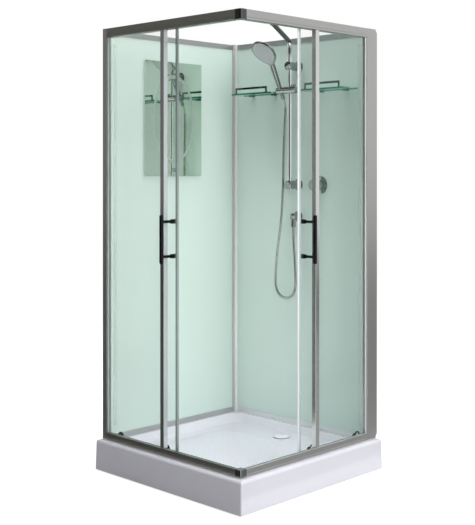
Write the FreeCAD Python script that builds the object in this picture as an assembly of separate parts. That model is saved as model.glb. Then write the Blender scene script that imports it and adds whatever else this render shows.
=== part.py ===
import FreeCAD, Part
import math
import os

Vector = FreeCAD.Vector

# Corner-entry shower cabin, millimetres, +Z up, origin on the floor at the middle of the tray.
# The front faces -Y, the second glazed side faces +X, and the doors part at their common corner.
# The wall panels stand at -X, with the mirror, and at +Y, with the shower column.

# Overall sizes and clearances
tray_side = 900.0
tray_height = 135.0
cabin_height = 1950.0
glass_thickness = 6.0
profile_wall = 2.0
seat_gap = 0.3
running_gap = 0.05
overrun = 5.0
quarter_turn = 90.0

# Tray
ground_gap = 4.0
tray_draft = 3.0
tray_corner_radius = 5.0
tray_edge_radius = 14.0
tray_wall = 6.0
tray_cavity_radius = 20.0
tray_floor_wall = 8.0
front_rim_width = 74.0
rear_ledge_drop = 11.0
basin_depth = 44.0
basin_trim_gap = 5.0
basin_slope_run = 38.0
basin_corner_radius = 60.0
basin_foot_radius = 12.0
tray_rib_thickness = 6.0
tray_rib_drop = 20.0
tray_rib_spread = 290.0

# Levelling feet
foot_spread = 520.0
foot_pad_radius = 20.0
foot_pad_height = 7.0
foot_rod_radius = 5.0
foot_boss_radius = 17.0
foot_boss_drop = 30.0
foot_nut_radius = 10.0
foot_nut_height = 7.0

# Waste and drain cover
drain_back_distance = 170.0
drain_recess_radius = 38.0
drain_recess_depth = 5.0
waste_flange_thickness = 3.0
waste_neck_radius = 26.0
waste_neck_wall = 3.0
waste_cup_radius = 38.0
waste_cup_clearance = 14.0
waste_wall = 3.0
outlet_radius = 20.0
outlet_height = 38.0
outlet_spigot_length = 45.0
outlet_collar_radius = 23.0
outlet_hole_gap = 14.0
cover_radius = 35.5
cover_rise = 6.0
cover_edge_height = 2.0
cover_shoulder_radius_share = 0.55
cover_shoulder_rise_share = 0.8
cover_lift = 2.0
cover_leg_radius = 3.0
cover_leg_circle = 27.5
cover_leg_count = 3
dip_tube_radius = 17.0
dip_tube_depth = 26.0

# Glazed frame: distances run inwards from the frame's outer face
frame_inset = 30.0
rail_depth = 32.0
top_rail_height = 40.0
bottom_rail_height = 32.0
glass_setback = 8.0
glass_grip = 12.0
rail_edge_radius = 1.5
rail_groove_height = 10.0
rail_groove_depth = 0.8
top_track_floor = 2.7
bottom_track_height = 8.0
track_lip = 3.5
corner_edge_radius = 11.0
corner_tongue_length = 24.0

# Posts
post_depth = 24.0
left_post_width = 28.5
left_post_overhang = 15.5
right_post_width = 65.0
right_post_overhang = 22.0
post_slot_depth = 8.0
post_edge_radius = 2.0
wall_profile_width = 8.0
wall_profile_depth = 16.0
wall_profile_setback = 1.0
wall_profile_end_gap = 12.0
wall_screw_radius = 2.5
wall_screw_end_distance = 200.0
gasket_width = 6.5
gasket_thickness = 3.0

# Wall panels and their trims
left_panel_margin = 11.5
back_panel_setback = 42.0
trim_height = 24.0
panel_top_drop = 4.0
rear_post_flange = 6.0
rear_post_leg = 24.0
rear_post_chamfer = 10.0
rear_post_slot_end = 8.0

# Fixed-panel stiles
stile_width = 22.0
stile_depth = 22.0
stile_face_setback = 2.5
stile_end = 30.0
stile_nose = 7.0
stile_edge_radius = 2.0

# Sliding doors: distances along the door run back from its leading tip
door_overlap = 12.0
door_gap = 2.0
front_door_lead = 25.0
side_door_lead = 46.0
seal_wall = 1.2
seal_grip = 7.0
seal_head = 9.0
fin_reach = 6.3
fin_thickness = 1.2
fin_root = 3.6
fin_grip = 12.0
fin_end_clearance = 28.0
roller_lead_distance = 79.0
roller_trail_distance = 41.0
door_foot_gap = 6.0
door_head_margin = 15.5

# Rollers
wheel_radius = 11.0
wheel_width = 8.0
wheel_side_gap = 2.5
wheel_groove = 1.2
wheel_web_recess = 1.5
axle_radius = 4.0
axle_head_radius = 6.0
axle_head_thickness = 1.6
hub_radius = 7.0
hub_shank_radius = 6.0
roller_cap_radius = 11.0
roller_cap_depth = 8.0
roller_cap_end_share = 0.7

# Door handles
handle_lead_distance = 44.0
handle_height = 1038.0
handle_length = 202.0
handle_spacing = 145.0
handle_radius = 9.0
handle_standoff = 20.0
handle_rod_radius = 6.0
handle_flange_radius = 9.0
handle_flange_thickness = 2.0
handle_knob_radius = 10.0
handle_knob_length = 24.0
handle_rod_seat = 5.0
handle_end_bevel = 3.0
handle_knob_bevel = 2.5

# Mirror
mirror_width = 356.0
mirror_height = 532.0
mirror_top_drop = 120.0
mirror_shift = 8.0
mirror_thickness = 5.0
mirror_corner_radius = 4.0
mirror_standoff = 3.0
mirror_fixing_inset = 27.0
mirror_fixing_radius = 4.0
mirror_cap_radius = 10.0
mirror_cap_depth = 5.0
mirror_cap_end_share = 0.5

# Shelves
shelf_column_gap = 85.0
shelf_end_gap = 67.0
shelf_depth = 103.0
shelf_thickness = 8.0
shelf_drop = 256.0
shelf_corner_radius = 28.0
shelf_clip_end_distance = 61.5
shelf_clip_width = 18.0
shelf_clip_depth = 24.0
shelf_clip_wall = 4.0
shelf_clip_back = 3.0
shelf_clip_upper_depth = 9.0
gallery_end_distance = 36.0
gallery_rise = 28.0
gallery_bar_height = 10.0
gallery_bar_thickness = 4.0
gallery_post_width = 8.0
gallery_edge_distance = 12.0
gallery_foot_radius = 6.0
gallery_foot_height = 3.0

# Shower column
column_standoff = 60.0
riser_radius = 11.0
riser_wall = 1.5
riser_bend_drop = 28.0
riser_bend_radius = 45.0
arm_angle = 32.0
arm_length = 158.0
arm_collar_radius = 13.0
arm_collar_length = 18.0
arm_spigot_radius = 10.0
arm_spigot_length = 14.0
bracket_spacing = 554.0
upper_bracket_drop = 140.0
bracket_radius = 20.0
bracket_flange_radius = 27.0
bracket_flange_thickness = 5.0
bracket_nose = 22.0
bracket_dome = 4.0
riser_tail = 6.0

# Sliding holder, lock knob and cradle
slider_drop = 252.0
slider_radius = 17.0
slider_left = 36.0
slider_right = 39.0
slider_edge = 3.0
pivot_radius = 7.0
pivot_length = 10.0
lock_knob_distance = 26.0
lock_knob_radius = 8.0
lock_knob_height = 11.0
lock_stem_radius = 3.5
lock_stem_depth = 6.0
lock_lever_length = 18.0
lock_lever_height = 5.0
lock_knob_bevel = 2.0
cradle_radius = 15.0
cradle_length = 44.0
cradle_edge = 3.0
cradle_gap = 1.0

# Hand shower, measured along its handle from the cradle's axis
handset_lean = 27.0
handset_head_bend = 18.0
cone_low_radius = 9.0
cone_high_radius = 11.0
cone_low_reach = 24.0
cone_high_reach = 22.0
grip_reach = 112.0
grip_radius = 13.0
neck_reach = 136.0
neck_radius = 12.0
head_reach = 150.0
head_throat_radius = 8.0
head_throat_run = 22.0
head_radius = 65.0
head_tail_radius = 22.0
head_tail_distance = 60.0
head_thickness = 22.0
head_rim = 5.0
head_face_inset = 3.0
head_back_depth_shares = (0.62, 1.0)
head_back_width_shares = (0.86, 0.5)
spray_plate_margin = 8.0
spray_plate_thickness = 3.0
spray_plate_rise = 1.5
hose_nut_radius = 9.5
hose_nut_length = 20.0
hose_nut_bevel = 2.0

# Hose
hose_radius = 6.0
hose_bore_radius = 4.0

# Wall outlet
outlet_drop = 148.0
elbow_reach = 37.0
elbow_radius = 15.0
elbow_flange_radius = 25.0
elbow_flange_thickness = 6.0
elbow_nut_radius = 11.0
elbow_nut_drop = 50.0
elbow_nut_height = 28.0
elbow_nut_bevel = 2.0

# Mixer
mixer_distance = 133.0
mixer_plate_radius = 42.0
mixer_plate_thickness = 7.0
mixer_collar_radius = 22.0
mixer_collar_reach = 20.0
mixer_knob_radius = 27.0
mixer_knob_start = 22.0
mixer_knob_reach = 44.0
mixer_knob_wall = 5.0
mixer_spindle_radius = 9.0
lever_pin_radius = 3.0
lever_pocket_gap = 3.0
lever_cap_radius = 24.0
lever_cap_reach = 60.0
lever_rod_radius = 4.5
lever_rod_length = 62.0
lever_back_gap = 4.0
lever_bevel = 2.0
lever_lift_angle = 20.0
mixer_knob_bevel = 3.0

# Connections behind the shower wall
connection_radius = 10.5
connection_length = 16.0
connection_neck_radius = 12.0
back_nut_radius = 16.0
back_nut_thickness = 6.0
valve_radius = 16.0
valve_length = 110.0
valve_gap = 2.0
valve_neck_radius = 15.0
valve_inlet_spacing = 70.0
valve_collar_radius = 13.0
valve_collar_rise = 6.0
valve_port_length = 20.0

# Places worked out from the sizes above
tray_half = tray_side / 2
face = tray_half - frame_inset
tray_floor = tray_height - basin_depth
rear_ledge = tray_height - rear_ledge_drop
groove_outer = glass_setback - seat_gap
groove_inner = glass_setback + glass_thickness + seat_gap
track_outer = groove_inner + profile_wall
top_rail_base = cabin_height - top_rail_height
bottom_rail_top = tray_height + bottom_rail_height
left_post_outer = -(face + left_post_overhang)
left_post_inner = left_post_outer + left_post_width
right_post_outer = face + right_post_overhang
right_post_inner = right_post_outer - right_post_width
left_panel_back = left_post_outer + left_panel_margin
left_panel_front = left_panel_back + glass_thickness
back_panel_front = right_post_outer - back_panel_setback
back_panel_back = back_panel_front + glass_thickness
panel_bottom = rear_ledge + profile_wall + seat_gap
panel_top = cabin_height - panel_top_drop - profile_wall - seat_gap
door_outer = rail_depth + door_gap
door_inner = door_outer + glass_thickness
door_middle = (door_outer + door_inner) / 2
door_width = face - door_middle + stile_end + door_overlap
top_wheel_height = top_rail_base + top_track_floor + seat_gap + wheel_radius
bottom_wheel_height = tray_height + bottom_track_height + seat_gap + wheel_radius
wheel_outer = track_outer + wheel_side_gap
wheel_inner = wheel_outer + wheel_width
basin_left = left_panel_front + seat_gap + profile_wall + basin_trim_gap
basin_back = back_panel_front - seat_gap - profile_wall - basin_trim_gap
basin_right = tray_half - front_rim_width
basin_front = -basin_right
drain_y = tray_half - drain_back_distance
column_y = back_panel_front - column_standoff
wall_seat = back_panel_front - seat_gap
shelf_width = face - shelf_end_gap - shelf_column_gap
shelf_centre_distance = shelf_column_gap + shelf_width / 2
upper_bracket_height = cabin_height - upper_bracket_drop
lower_bracket_height = upper_bracket_height - bracket_spacing
slider_height = cabin_height - slider_drop
cradle_left = -(slider_left + cradle_gap + cradle_length)
cradle_middle = -(slider_left + cradle_gap + cradle_length / 2)
elbow_height = lower_bracket_height - outlet_drop
lean = math.radians(handset_lean)
handle_direction = Vector(0, -math.sin(lean), math.cos(lean))
handset_pivot = Vector(cradle_middle, column_y, slider_height)

# Route of the hose from the hand shower's nut, down round its loop and up to the wall outlet
hose_route = [
    (-59.0, 359.976, 1658.796), (-59.0, 371.325, 1636.520), (-60.0, 376.0, 1604.0), (-62.5, 373.0, 1548.0),
    (-64.5, 369.0, 1460.0), (-65.5, 366.0, 1350.0), (-67.5, 366.5, 1240.0), (-75.0, 366.0, 1130.0),
    (-87.0, 365.0, 1030.0), (-102.0, 364.0, 940.0), (-111.0, 363.5, 865.0), (-113.0, 363.5, 808.0),
    (-111.0, 363.5, 765.5), (-88.0, 363.0, 732.8), (-49.5, 363.0, 720.3), (-11.0, 363.0, 732.8),
    (12.0, 363.0, 765.5), (14.0, 363.0, 808.0), (12.0, 363.0, 862.0), (7.0, 363.0, 930.0),
    (0.0, 363.0, 1000.0), (0.0, 363.0, 1058.0),
]
hose_arc_share = 0.45


# Shared shaping helpers

def block(x_limits, y_limits, z_limits):
    """Rectangular solid between three pairs of limits."""
    size = [high - low for low, high in (x_limits, y_limits, z_limits)]
    return Part.makeBox(size[0], size[1], size[2], Vector(x_limits[0], y_limits[0], z_limits[0]))


def outline(points):
    """Closed wire through corner points."""
    return Part.makePolygon(points + points[:1])


def rectangle(low, high):
    """Corner pairs of a rectangle given by two opposite corners."""
    return [(low[0], low[1]), (high[0], low[1]), (high[0], high[1]), (low[0], high[1])]


def holed_face(wires):
    """Flat face from an outer wire and the wires of its openings."""
    return Part.makeFace(wires, "Part::FaceMakerBullseye")


def plan_prism(points, z_low, z_high, holes=()):
    """Plan profile, with optional hollow chambers, raised between two heights."""
    wires = [outline([Vector(x, y, z_low) for x, y in ring]) for ring in (points, *holes)]
    return holed_face(wires).extrude(Vector(0, 0, z_high - z_low))


def rail_extrusion(points, holes, x_low, x_high):
    """Rail section in (distance inwards, height), drawn along the front of the cabin."""
    wires = [outline([Vector(x_low, -face + depth, z) for depth, z in ring]) for ring in (points, *holes)]
    return holed_face(wires).extrude(Vector(x_high - x_low, 0, 0))


def front_plan(points):
    """Plan points of the front, from (x, distance inwards from the frame's outer face)."""
    return [(x, -face + depth) for x, depth in points]


def turned(profile, origin, direction):
    """Solid of revolution from (distance along the axis, radius) points."""
    points = [Vector(radius, 0, along) for along, radius in profile]
    solid = Part.Face(outline(points)).revolve(Vector(0, 0, 0), Vector(0, 0, 1), 360)
    turn = FreeCAD.Rotation(Vector(0, 0, 1), Vector(*direction))
    solid.Placement = FreeCAD.Placement(Vector(*origin), turn)
    return solid


def rod(radius, start, end):
    """Plain round bar between two points."""
    along = Vector(*end) - Vector(*start)
    return Part.makeCylinder(radius, along.Length, Vector(*start), along)


def rounded_rectangle(low, high, radius, z):
    """Level wire of a rectangle with rounded corners."""
    (x0, y0), (x1, y1) = low, high
    left, right, near, far = x0 + radius, x1 - radius, y0 + radius, y1 - radius
    centres = [(right, near), (right, far), (left, far), (left, near)]
    arcs = []
    for turn, (x, y) in enumerate(centres):
        start = (turn - 1) * quarter_turn
        arcs.append(Part.makeCircle(radius, Vector(x, y, z), Vector(0, 0, 1), start, start + quarter_turn))
    edges = []
    for k, arc in enumerate(arcs):
        following = arcs[(k + 1) % len(arcs)]
        edges.append(arc)
        edges.append(Part.makeLine(arc.lastVertex().Point, following.firstVertex().Point))
    return Part.Wire(Part.__sortEdges__(edges))


def bent_path(points, radii):
    """Straight runs joined by tangent arcs, one radius for each inner point."""
    edges = []
    start = points[0]
    for before, corner, after, radius in zip(points, points[1:], points[2:], radii):
        inward = (before - corner).normalize()
        outward = (after - corner).normalize()
        half_turn = (math.pi - inward.getAngle(outward)) / 2
        tangent = radius * math.tan(half_turn)
        entry = corner + inward * tangent
        leaving = corner + outward * tangent
        bisector = (inward + outward).normalize()
        middle = corner + bisector * (radius / math.cos(half_turn) - radius)
        edges.append(Part.LineSegment(start, entry).toShape())
        edges.append(Part.Arc(entry, middle, leaving).toShape())
        start = leaving
    edges.append(Part.LineSegment(start, points[-1]).toShape())
    return Part.Wire(edges)


def pipe(path, radius):
    """Round bar swept along a path."""
    first = path.Edges[0]
    start = first.valueAt(first.FirstParameter)
    ring = Part.makeCircle(radius, start, first.tangentAt(first.FirstParameter))
    return path.makePipeShell([Part.Wire(ring)], True, False)


def to_side(shape):
    """Mirror image on the second glazed side, across the diagonal through the entry corner."""
    return shape.mirror(Vector(0, 0, 0), Vector(1, 1, 0))


def upright_edges(shape, x, y):
    """Vertical edges of a shape that stand at one place in plan."""
    found = []
    for edge in shape.Edges:
        box = edge.BoundBox
        level = max(abs(box.XMin - x), abs(box.XMax - x), abs(box.YMin - y), abs(box.YMax - y))
        if level < running_gap and box.ZLength > running_gap:
            found.append(edge)
    return found


def level_edges(shape, z):
    """Edges of a shape that lie at one height."""
    return [e for e in shape.Edges if max(abs(e.BoundBox.ZMin - z), abs(e.BoundBox.ZMax - z)) < running_gap]


# Tray, feet and waste

def basin_tool(spread, drop):
    """Sloping basin of the tray, widened and deepened by a wall."""
    rim = rounded_rectangle(
        (basin_left - spread, basin_front - spread), (basin_right + spread, basin_back + spread),
        basin_corner_radius, tray_height)
    foot = rounded_rectangle(
        (basin_left + basin_slope_run - spread, basin_front + basin_slope_run - spread),
        (basin_right - basin_slope_run + spread, basin_back - basin_slope_run + spread),
        basin_corner_radius, tray_floor - drop)
    return Part.makeLoft([rim, foot], True)


def rear_ledge_tool():
    """Low ledge along both walls, on which the panel trims stand, open to the basin."""
    front_end = -face + post_depth - post_slot_depth - seat_gap
    ledge_x = (-tray_half - overrun, basin_left)
    ledge_y = (basin_back, tray_half + overrun)
    heights = (rear_ledge, tray_height + overrun)
    tool = block(ledge_x, (front_end, ledge_y[1]), heights)
    tool = tool.fuse(block((ledge_x[0], -front_end), ledge_y, heights))
    tool = tool.fuse(block((ledge_x[0], basin_left + basin_slope_run), (basin_front, ledge_y[1]), heights))
    return tool.fuse(block((ledge_x[0], basin_right), (basin_back - basin_slope_run, ledge_y[1]), heights))


def foot_places():
    """Plan places of the levelling feet: four corners and the middle."""
    reach = foot_spread / 2
    return [(-reach, -reach), (reach, -reach), (-reach, reach), (reach, reach), (0, 0)]


def tray_section():
    """Outer section of the tray with its rounded upper edges, drawn from the front to the back."""
    top_half = tray_half - tray_draft
    corners = [
        (-tray_half, ground_gap), (tray_half, ground_gap), (top_half, tray_height), (-top_half, tray_height),
    ]
    section = Part.Face(outline([Vector(x, -tray_half, z) for x, z in corners]))
    section = section.extrude(Vector(0, tray_side, 0))
    edges = [edge for edge in level_edges(section, tray_height) if edge.BoundBox.YLength > tray_half]
    return section.makeFillet(tray_edge_radius, edges)


def tray_block():
    """Outer shape of the tray: drafted skirt with close corners and a rounded upper edge all round."""
    top_half = tray_half - tray_draft
    radius = tray_corner_radius
    skirt = rounded_rectangle((-tray_half, -tray_half), (tray_half, tray_half), radius, ground_gap)
    rim = rounded_rectangle((-top_half, -top_half), (top_half, top_half), radius, tray_height)
    across = tray_section()
    along = tray_section()
    along.rotate(Vector(0, 0, 0), Vector(0, 0, 1), quarter_turn)
    return Part.makeLoft([skirt, rim], True).common(across).common(along)


def tray():
    """Moulded tray: skirt, rims, sunk basin, hollow underside with ribs and bosses."""
    basin = basin_tool(0, 0)
    basin = basin.makeFillet(basin_foot_radius, level_edges(basin, tray_floor))
    cavity_half = tray_half - tray_draft - tray_wall
    cavity_top = rear_ledge - tray_floor_wall
    cavity_low = rounded_rectangle(
        (-cavity_half, -cavity_half), (cavity_half, cavity_half), tray_cavity_radius, ground_gap - overrun)
    cavity = Part.Face(cavity_low).extrude(Vector(0, 0, cavity_top - ground_gap + overrun))
    cavity = cavity.cut(basin_tool(tray_floor_wall, tray_floor_wall))
    body = tray_block().cut(basin).cut(cavity).cut(rear_ledge_tool())
    return with_tray_fittings(body)


def with_tray_fittings(body):
    """Ribs and foot bosses under the floor, drain recess and the way out for the waste pipe."""
    underside = tray_floor - tray_floor_wall
    inside_floor = tray_floor - tray_floor_wall / 2
    rib_length = basin_back - basin_slope_run
    rib_heights = (underside - tray_rib_drop, inside_floor)
    for side in (-tray_rib_spread / 2, tray_rib_spread / 2):
        rib = block((side, side + tray_rib_thickness), (-rib_length, rib_length), rib_heights)
        body = body.fuse(rib)
    for x, y in foot_places():
        boss_low = underside - foot_boss_drop
        body = body.fuse(rod(foot_boss_radius, (x, y, boss_low), (x, y, inside_floor)))
        body = body.cut(rod(foot_rod_radius + running_gap, (x, y, boss_low - overrun), (x, y, underside)))
    recess_floor = tray_floor - drain_recess_depth
    body = body.cut(rod(drain_recess_radius, (0, drain_y, recess_floor), (0, drain_y, tray_floor + overrun)))
    body = body.cut(rod(waste_neck_radius + seat_gap, (0, drain_y, 0), (0, drain_y, tray_floor)))
    hole_radius = outlet_radius + outlet_hole_gap
    hole_start = tray_half - tray_draft - tray_wall - overrun
    hole_end = tray_half + overrun
    body = body.cut(rod(hole_radius, (0, hole_start, outlet_height), (0, hole_end, outlet_height)))
    body = body.cut(block((-hole_radius, hole_radius), (hole_start, hole_end), (0, outlet_height)))
    return body.removeSplitter()


def levelling_feet():
    """Screw feet: pad, threaded rod in its boss and lock nut."""
    underside = tray_floor - tray_floor_wall
    rod_top = underside - seat_gap
    nut_top = underside - foot_boss_drop - seat_gap
    nut_low = nut_top - foot_nut_height
    profile = [
        (0, 0), (0, foot_pad_radius), (foot_pad_height / 2, foot_pad_radius),
        (foot_pad_height, foot_rod_radius), (nut_low, foot_rod_radius), (nut_low, foot_nut_radius),
        (nut_top, foot_nut_radius), (nut_top, foot_rod_radius), (rod_top, foot_rod_radius), (rod_top, 0),
    ]
    return [turned(profile, (x, y, 0), (0, 0, 1)) for x, y in foot_places()]


def waste_body():
    """Drain trap: flange in the tray's recess, neck, cup below the floor and outlet pipe."""
    flange_low = tray_floor - drain_recess_depth
    cup_top = tray_floor - tray_floor_wall - seat_gap
    cup_low = waste_cup_clearance
    flange_radius = drain_recess_radius - seat_gap
    bore = waste_neck_radius - waste_neck_wall
    profile = [
        (cup_low, 0), (cup_low, waste_cup_radius - waste_wall), (cup_low + waste_wall, waste_cup_radius),
        (cup_top, waste_cup_radius), (cup_top, waste_neck_radius), (flange_low, waste_neck_radius),
        (flange_low, flange_radius), (flange_low + waste_flange_thickness / 2, flange_radius),
        (flange_low + waste_flange_thickness, bore), (cup_low + waste_wall, bore), (cup_low + waste_wall, 0),
    ]
    cup = turned(profile, (0, drain_y, 0), (0, 0, 1))
    outlet_end = tray_half - tray_draft - drain_y
    shoulder = outlet_end - outlet_spigot_length
    outlet_start = (0, drain_y, outlet_height)
    outlet = [
        (0, 0), (0, outlet_collar_radius), (shoulder, outlet_collar_radius), (shoulder, outlet_radius),
        (outlet_end, outlet_radius), (outlet_end, 0),
    ]
    cup = cup.fuse(turned(outlet, outlet_start, (0, 1, 0)))
    cup = cup.cut(rod(bore, (0, drain_y, cup_low + waste_wall), (0, drain_y, tray_floor)))
    bore_end = (0, tray_half + overrun, outlet_height)
    return cup.cut(rod(outlet_radius - waste_wall, outlet_start, bore_end)).removeSplitter()


def drain_cover():
    """Domed lift-out cover with a dip tube and three legs on the waste's flange."""
    seat = tray_floor - drain_recess_depth + waste_flange_thickness + seat_gap
    rim = tray_floor + cover_lift
    shoulder = (rim + cover_rise * cover_shoulder_rise_share, cover_radius * cover_shoulder_radius_share)
    profile = [
        (rim, 0), (rim, cover_radius), (rim + cover_edge_height, cover_radius), shoulder,
        (rim + cover_rise, 0),
    ]
    cover = turned(profile, (0, drain_y, 0), (0, 0, 1))
    tube_low = rim - dip_tube_depth
    cover = cover.fuse(rod(dip_tube_radius, (0, drain_y, tube_low), (0, drain_y, rim + cover_edge_height)))
    tube_bore = dip_tube_radius - waste_wall
    cover = cover.cut(rod(tube_bore, (0, drain_y, tube_low - overrun), (0, drain_y, rim)))
    for k in range(cover_leg_count):
        angle = 2 * math.pi * k / cover_leg_count
        x = cover_leg_circle * math.cos(angle)
        y = drain_y + cover_leg_circle * math.sin(angle)
        cover = cover.fuse(rod(cover_leg_radius, (x, y, seat), (x, y, rim + cover_edge_height)))
    return cover.removeSplitter()


# Posts, rails and corner joints

def left_post():
    """Front wall post: slots for the fixed glass and the mirror wall's panel, hollow core."""
    x0, x1 = left_post_outer, left_post_inner
    panel = (left_panel_back - seat_gap, left_panel_front + seat_gap)
    slot_back = post_depth - post_slot_depth
    slot_x = x1 - post_slot_depth
    points = [
        (x0, 0), (x1, 0), (x1, groove_outer), (slot_x, groove_outer), (slot_x, groove_inner),
        (x1, groove_inner), (x1, post_depth), (panel[1], post_depth), (panel[1], slot_back),
        (panel[0], slot_back), (panel[0], post_depth), (x0, post_depth),
    ]
    core = rectangle((x0 + profile_wall, profile_wall), (slot_x - profile_wall, slot_back - profile_wall))
    post = plan_prism(front_plan(points), tray_height, cabin_height, [front_plan(core)])
    edges = upright_edges(post, x0, -face) + upright_edges(post, x1, -face)
    return post.makeFillet(post_edge_radius, edges)


def right_post():
    """Side wall post: wider, because the shower wall stands clear of the building's wall."""
    low, high = right_post_inner, right_post_outer
    slot_end = low + post_slot_depth
    slot_back = post_depth - post_slot_depth
    panel = (back_panel_front - seat_gap, back_panel_back + seat_gap)
    plan = [
        (face, low), (face, high), (face - post_depth, high), (face - post_depth, panel[1]),
        (face - slot_back, panel[1]), (face - slot_back, panel[0]), (face - post_depth, panel[0]),
        (face - post_depth, low), (face - groove_inner, low), (face - groove_inner, slot_end),
        (face - groove_outer, slot_end), (face - groove_outer, low),
    ]
    inner_core = rectangle(
        (face - slot_back + profile_wall, slot_end + profile_wall), (face - profile_wall, panel[1]))
    outer_core = rectangle(
        (face - post_depth + profile_wall, panel[1] + profile_wall),
        (face - profile_wall, high - profile_wall))
    post = plan_prism(plan, tray_height, cabin_height, [inner_core, outer_core])
    edges = upright_edges(post, face, low) + upright_edges(post, face, high)
    return post.makeFillet(post_edge_radius, edges)


def right_wall_profile():
    """Channel between the side post and the building's wall, a little shorter than the post."""
    low = right_post_outer
    high = low + wall_profile_width
    outer = face - wall_profile_setback
    inner = outer - wall_profile_depth
    plan = [
        (inner, low), (outer, low), (outer, high), (inner, high), (inner, high - profile_wall),
        (outer - profile_wall, high - profile_wall), (outer - profile_wall, low + profile_wall),
        (inner, low + profile_wall),
    ]
    bottom, top = tray_height + wall_profile_end_gap, cabin_height - wall_profile_end_gap
    profile = plan_prism(plan, bottom, top)
    x = (outer + inner) / 2
    for z in (bottom + wall_screw_end_distance, (bottom + top) / 2, top - wall_screw_end_distance):
        start = (x, high - profile_wall - running_gap, z)
        profile = profile.cut(rod(wall_screw_radius, start, (x, high + overrun, z)))
    return profile


def rear_corner_post():
    """Corner profile that takes the edges of both wall panels, with a slanted inner face."""
    outer_x = left_panel_back - rear_post_flange
    outer_y = back_panel_back + rear_post_flange
    inner_x = left_panel_front + rear_post_flange
    inner_y = back_panel_front - rear_post_flange
    low_y = inner_y - rear_post_leg + rear_post_chamfer
    high_x = inner_x + rear_post_leg - rear_post_chamfer
    left_slot = (left_panel_back - seat_gap, left_panel_front + seat_gap)
    back_slot = (back_panel_front - seat_gap, back_panel_back + seat_gap)
    left_end = back_panel_front - rear_post_slot_end
    back_end = left_panel_front + rear_post_slot_end
    plan = [
        (outer_x, low_y), (left_slot[0], low_y), (left_slot[0], left_end), (left_slot[1], left_end),
        (left_slot[1], low_y), (inner_x, low_y), (inner_x, inner_y - rear_post_chamfer),
        (inner_x + rear_post_chamfer, inner_y), (high_x, inner_y), (high_x, back_slot[0]),
        (back_end, back_slot[0]), (back_end, back_slot[1]), (high_x, back_slot[1]), (high_x, outer_y),
        (outer_x, outer_y),
    ]
    return plan_prism(plan, rear_ledge, cabin_height - panel_top_drop + profile_wall)


def face_groove(low):
    """Fine line along the outer face of a rail."""
    middle = low + rail_groove_height
    return [(0, middle + rail_groove_depth), (rail_groove_depth, middle), (0, middle - rail_groove_depth)]


def top_rail(x_low, x_high):
    """Top extrusion: groove for the fixed glass, hollow core and the upper roller track."""
    low, high = top_rail_base, cabin_height
    track = low + top_track_floor
    lip = track + track_lip
    roof = high - profile_wall
    inner = rail_depth - profile_wall
    points = [
        (0, low), (groove_outer, low), (groove_outer, low + glass_grip), (groove_inner, low + glass_grip),
        (groove_inner, low), (rail_depth, low), (rail_depth, lip), (inner, lip), (inner, track),
        (track_outer, track), (track_outer, roof), (inner, roof), (inner, roof - track_lip),
        (rail_depth, roof - track_lip), (rail_depth, high), (0, high), *face_groove(low),
    ]
    holes = [
        rectangle((profile_wall, low + profile_wall), (groove_outer - profile_wall, roof)),
        rectangle((groove_outer, low + glass_grip + profile_wall), (groove_inner, roof)),
    ]
    return rail_extrusion(points, holes, x_low, x_high)


def bottom_rail(x_low, x_high):
    """Bottom extrusion: groove for the fixed glass over a hollow sill with the lower track."""
    low, high = tray_height, bottom_rail_top
    track = low + bottom_track_height
    inner = rail_depth - profile_wall
    points = [
        (0, low), (rail_depth, low), (rail_depth, track + track_lip), (inner, track + track_lip),
        (inner, track), (track_outer, track), (track_outer, high), (groove_inner, high),
        (groove_inner, high - glass_grip), (groove_outer, high - glass_grip), (groove_outer, high),
        (0, high), *face_groove(low),
    ]
    holes = [
        rectangle((profile_wall, low + profile_wall), (groove_outer - profile_wall, high - profile_wall)),
        rectangle((groove_outer, low + profile_wall), (groove_inner, high - glass_grip - profile_wall)),
        rectangle((track_outer, low + profile_wall), (inner, track - profile_wall)),
    ]
    return rail_extrusion(points, holes, x_low, x_high)


def softened(rail, heights):
    """Rail with its long outer edges slightly rounded."""
    edges = []
    for edge in rail.Edges:
        box = edge.BoundBox
        on_face = abs(box.YMin + face) < running_gap and abs(box.YMax + face) < running_gap
        if on_face and box.XLength > rail_depth and min(abs(box.ZMin - z) for z in heights) < running_gap:
            edges.append(edge)
    return rail.makeFillet(rail_edge_radius, edges)


def corner_joint(z_low, z_high):
    """Bright corner piece with a rounded outer edge and a tongue in each rail."""
    start = face - rail_depth
    solid = block((start, face), (-face, -start), (z_low, z_high))
    solid = solid.makeFillet(corner_edge_radius, upright_edges(solid, face, -face))
    tongue_depth = (profile_wall + seat_gap, groove_outer - profile_wall - seat_gap)
    tongue = block(
        (start - corner_tongue_length, start), (-face + tongue_depth[0], -face + tongue_depth[1]),
        (z_low + profile_wall + seat_gap, z_high - profile_wall - seat_gap))
    return solid.fuse(tongue).fuse(to_side(tongue)).removeSplitter()


# Fixed glazing

def fixed_glass(post_inner):
    """Fixed pane from its slot in the post to the stile, held in both rails."""
    x_low = post_inner - post_slot_depth + seat_gap
    x_high = -stile_end - stile_nose - seat_gap
    y_low = -face + glass_setback
    grip = glass_grip - seat_gap
    heights = (bottom_rail_top - grip, top_rail_base + grip)
    return block((x_low, x_high), (y_low, y_low + glass_thickness), heights)


def fixed_stile():
    """Upright extrusion on the free edge of the fixed pane, hollow behind the glass."""
    x_low = -stile_end - stile_width
    x_high = -stile_end
    slot_end = x_high - stile_nose
    outer = stile_face_setback
    inner = outer + stile_depth
    points = [
        (x_low, outer), (x_high, outer), (x_high, inner), (x_low, inner), (x_low, groove_inner),
        (slot_end, groove_inner), (slot_end, groove_outer), (x_low, groove_outer),
    ]
    core = rectangle(
        (x_low + profile_wall, groove_inner + profile_wall), (x_high - profile_wall, inner - profile_wall))
    stile = plan_prism(
        front_plan(points), bottom_rail_top + seat_gap, top_rail_base - seat_gap, [front_plan(core)])
    edges = upright_edges(stile, x_high, -face + outer) + upright_edges(stile, x_high, -face + inner)
    return stile.makeFillet(stile_edge_radius, edges)


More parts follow.
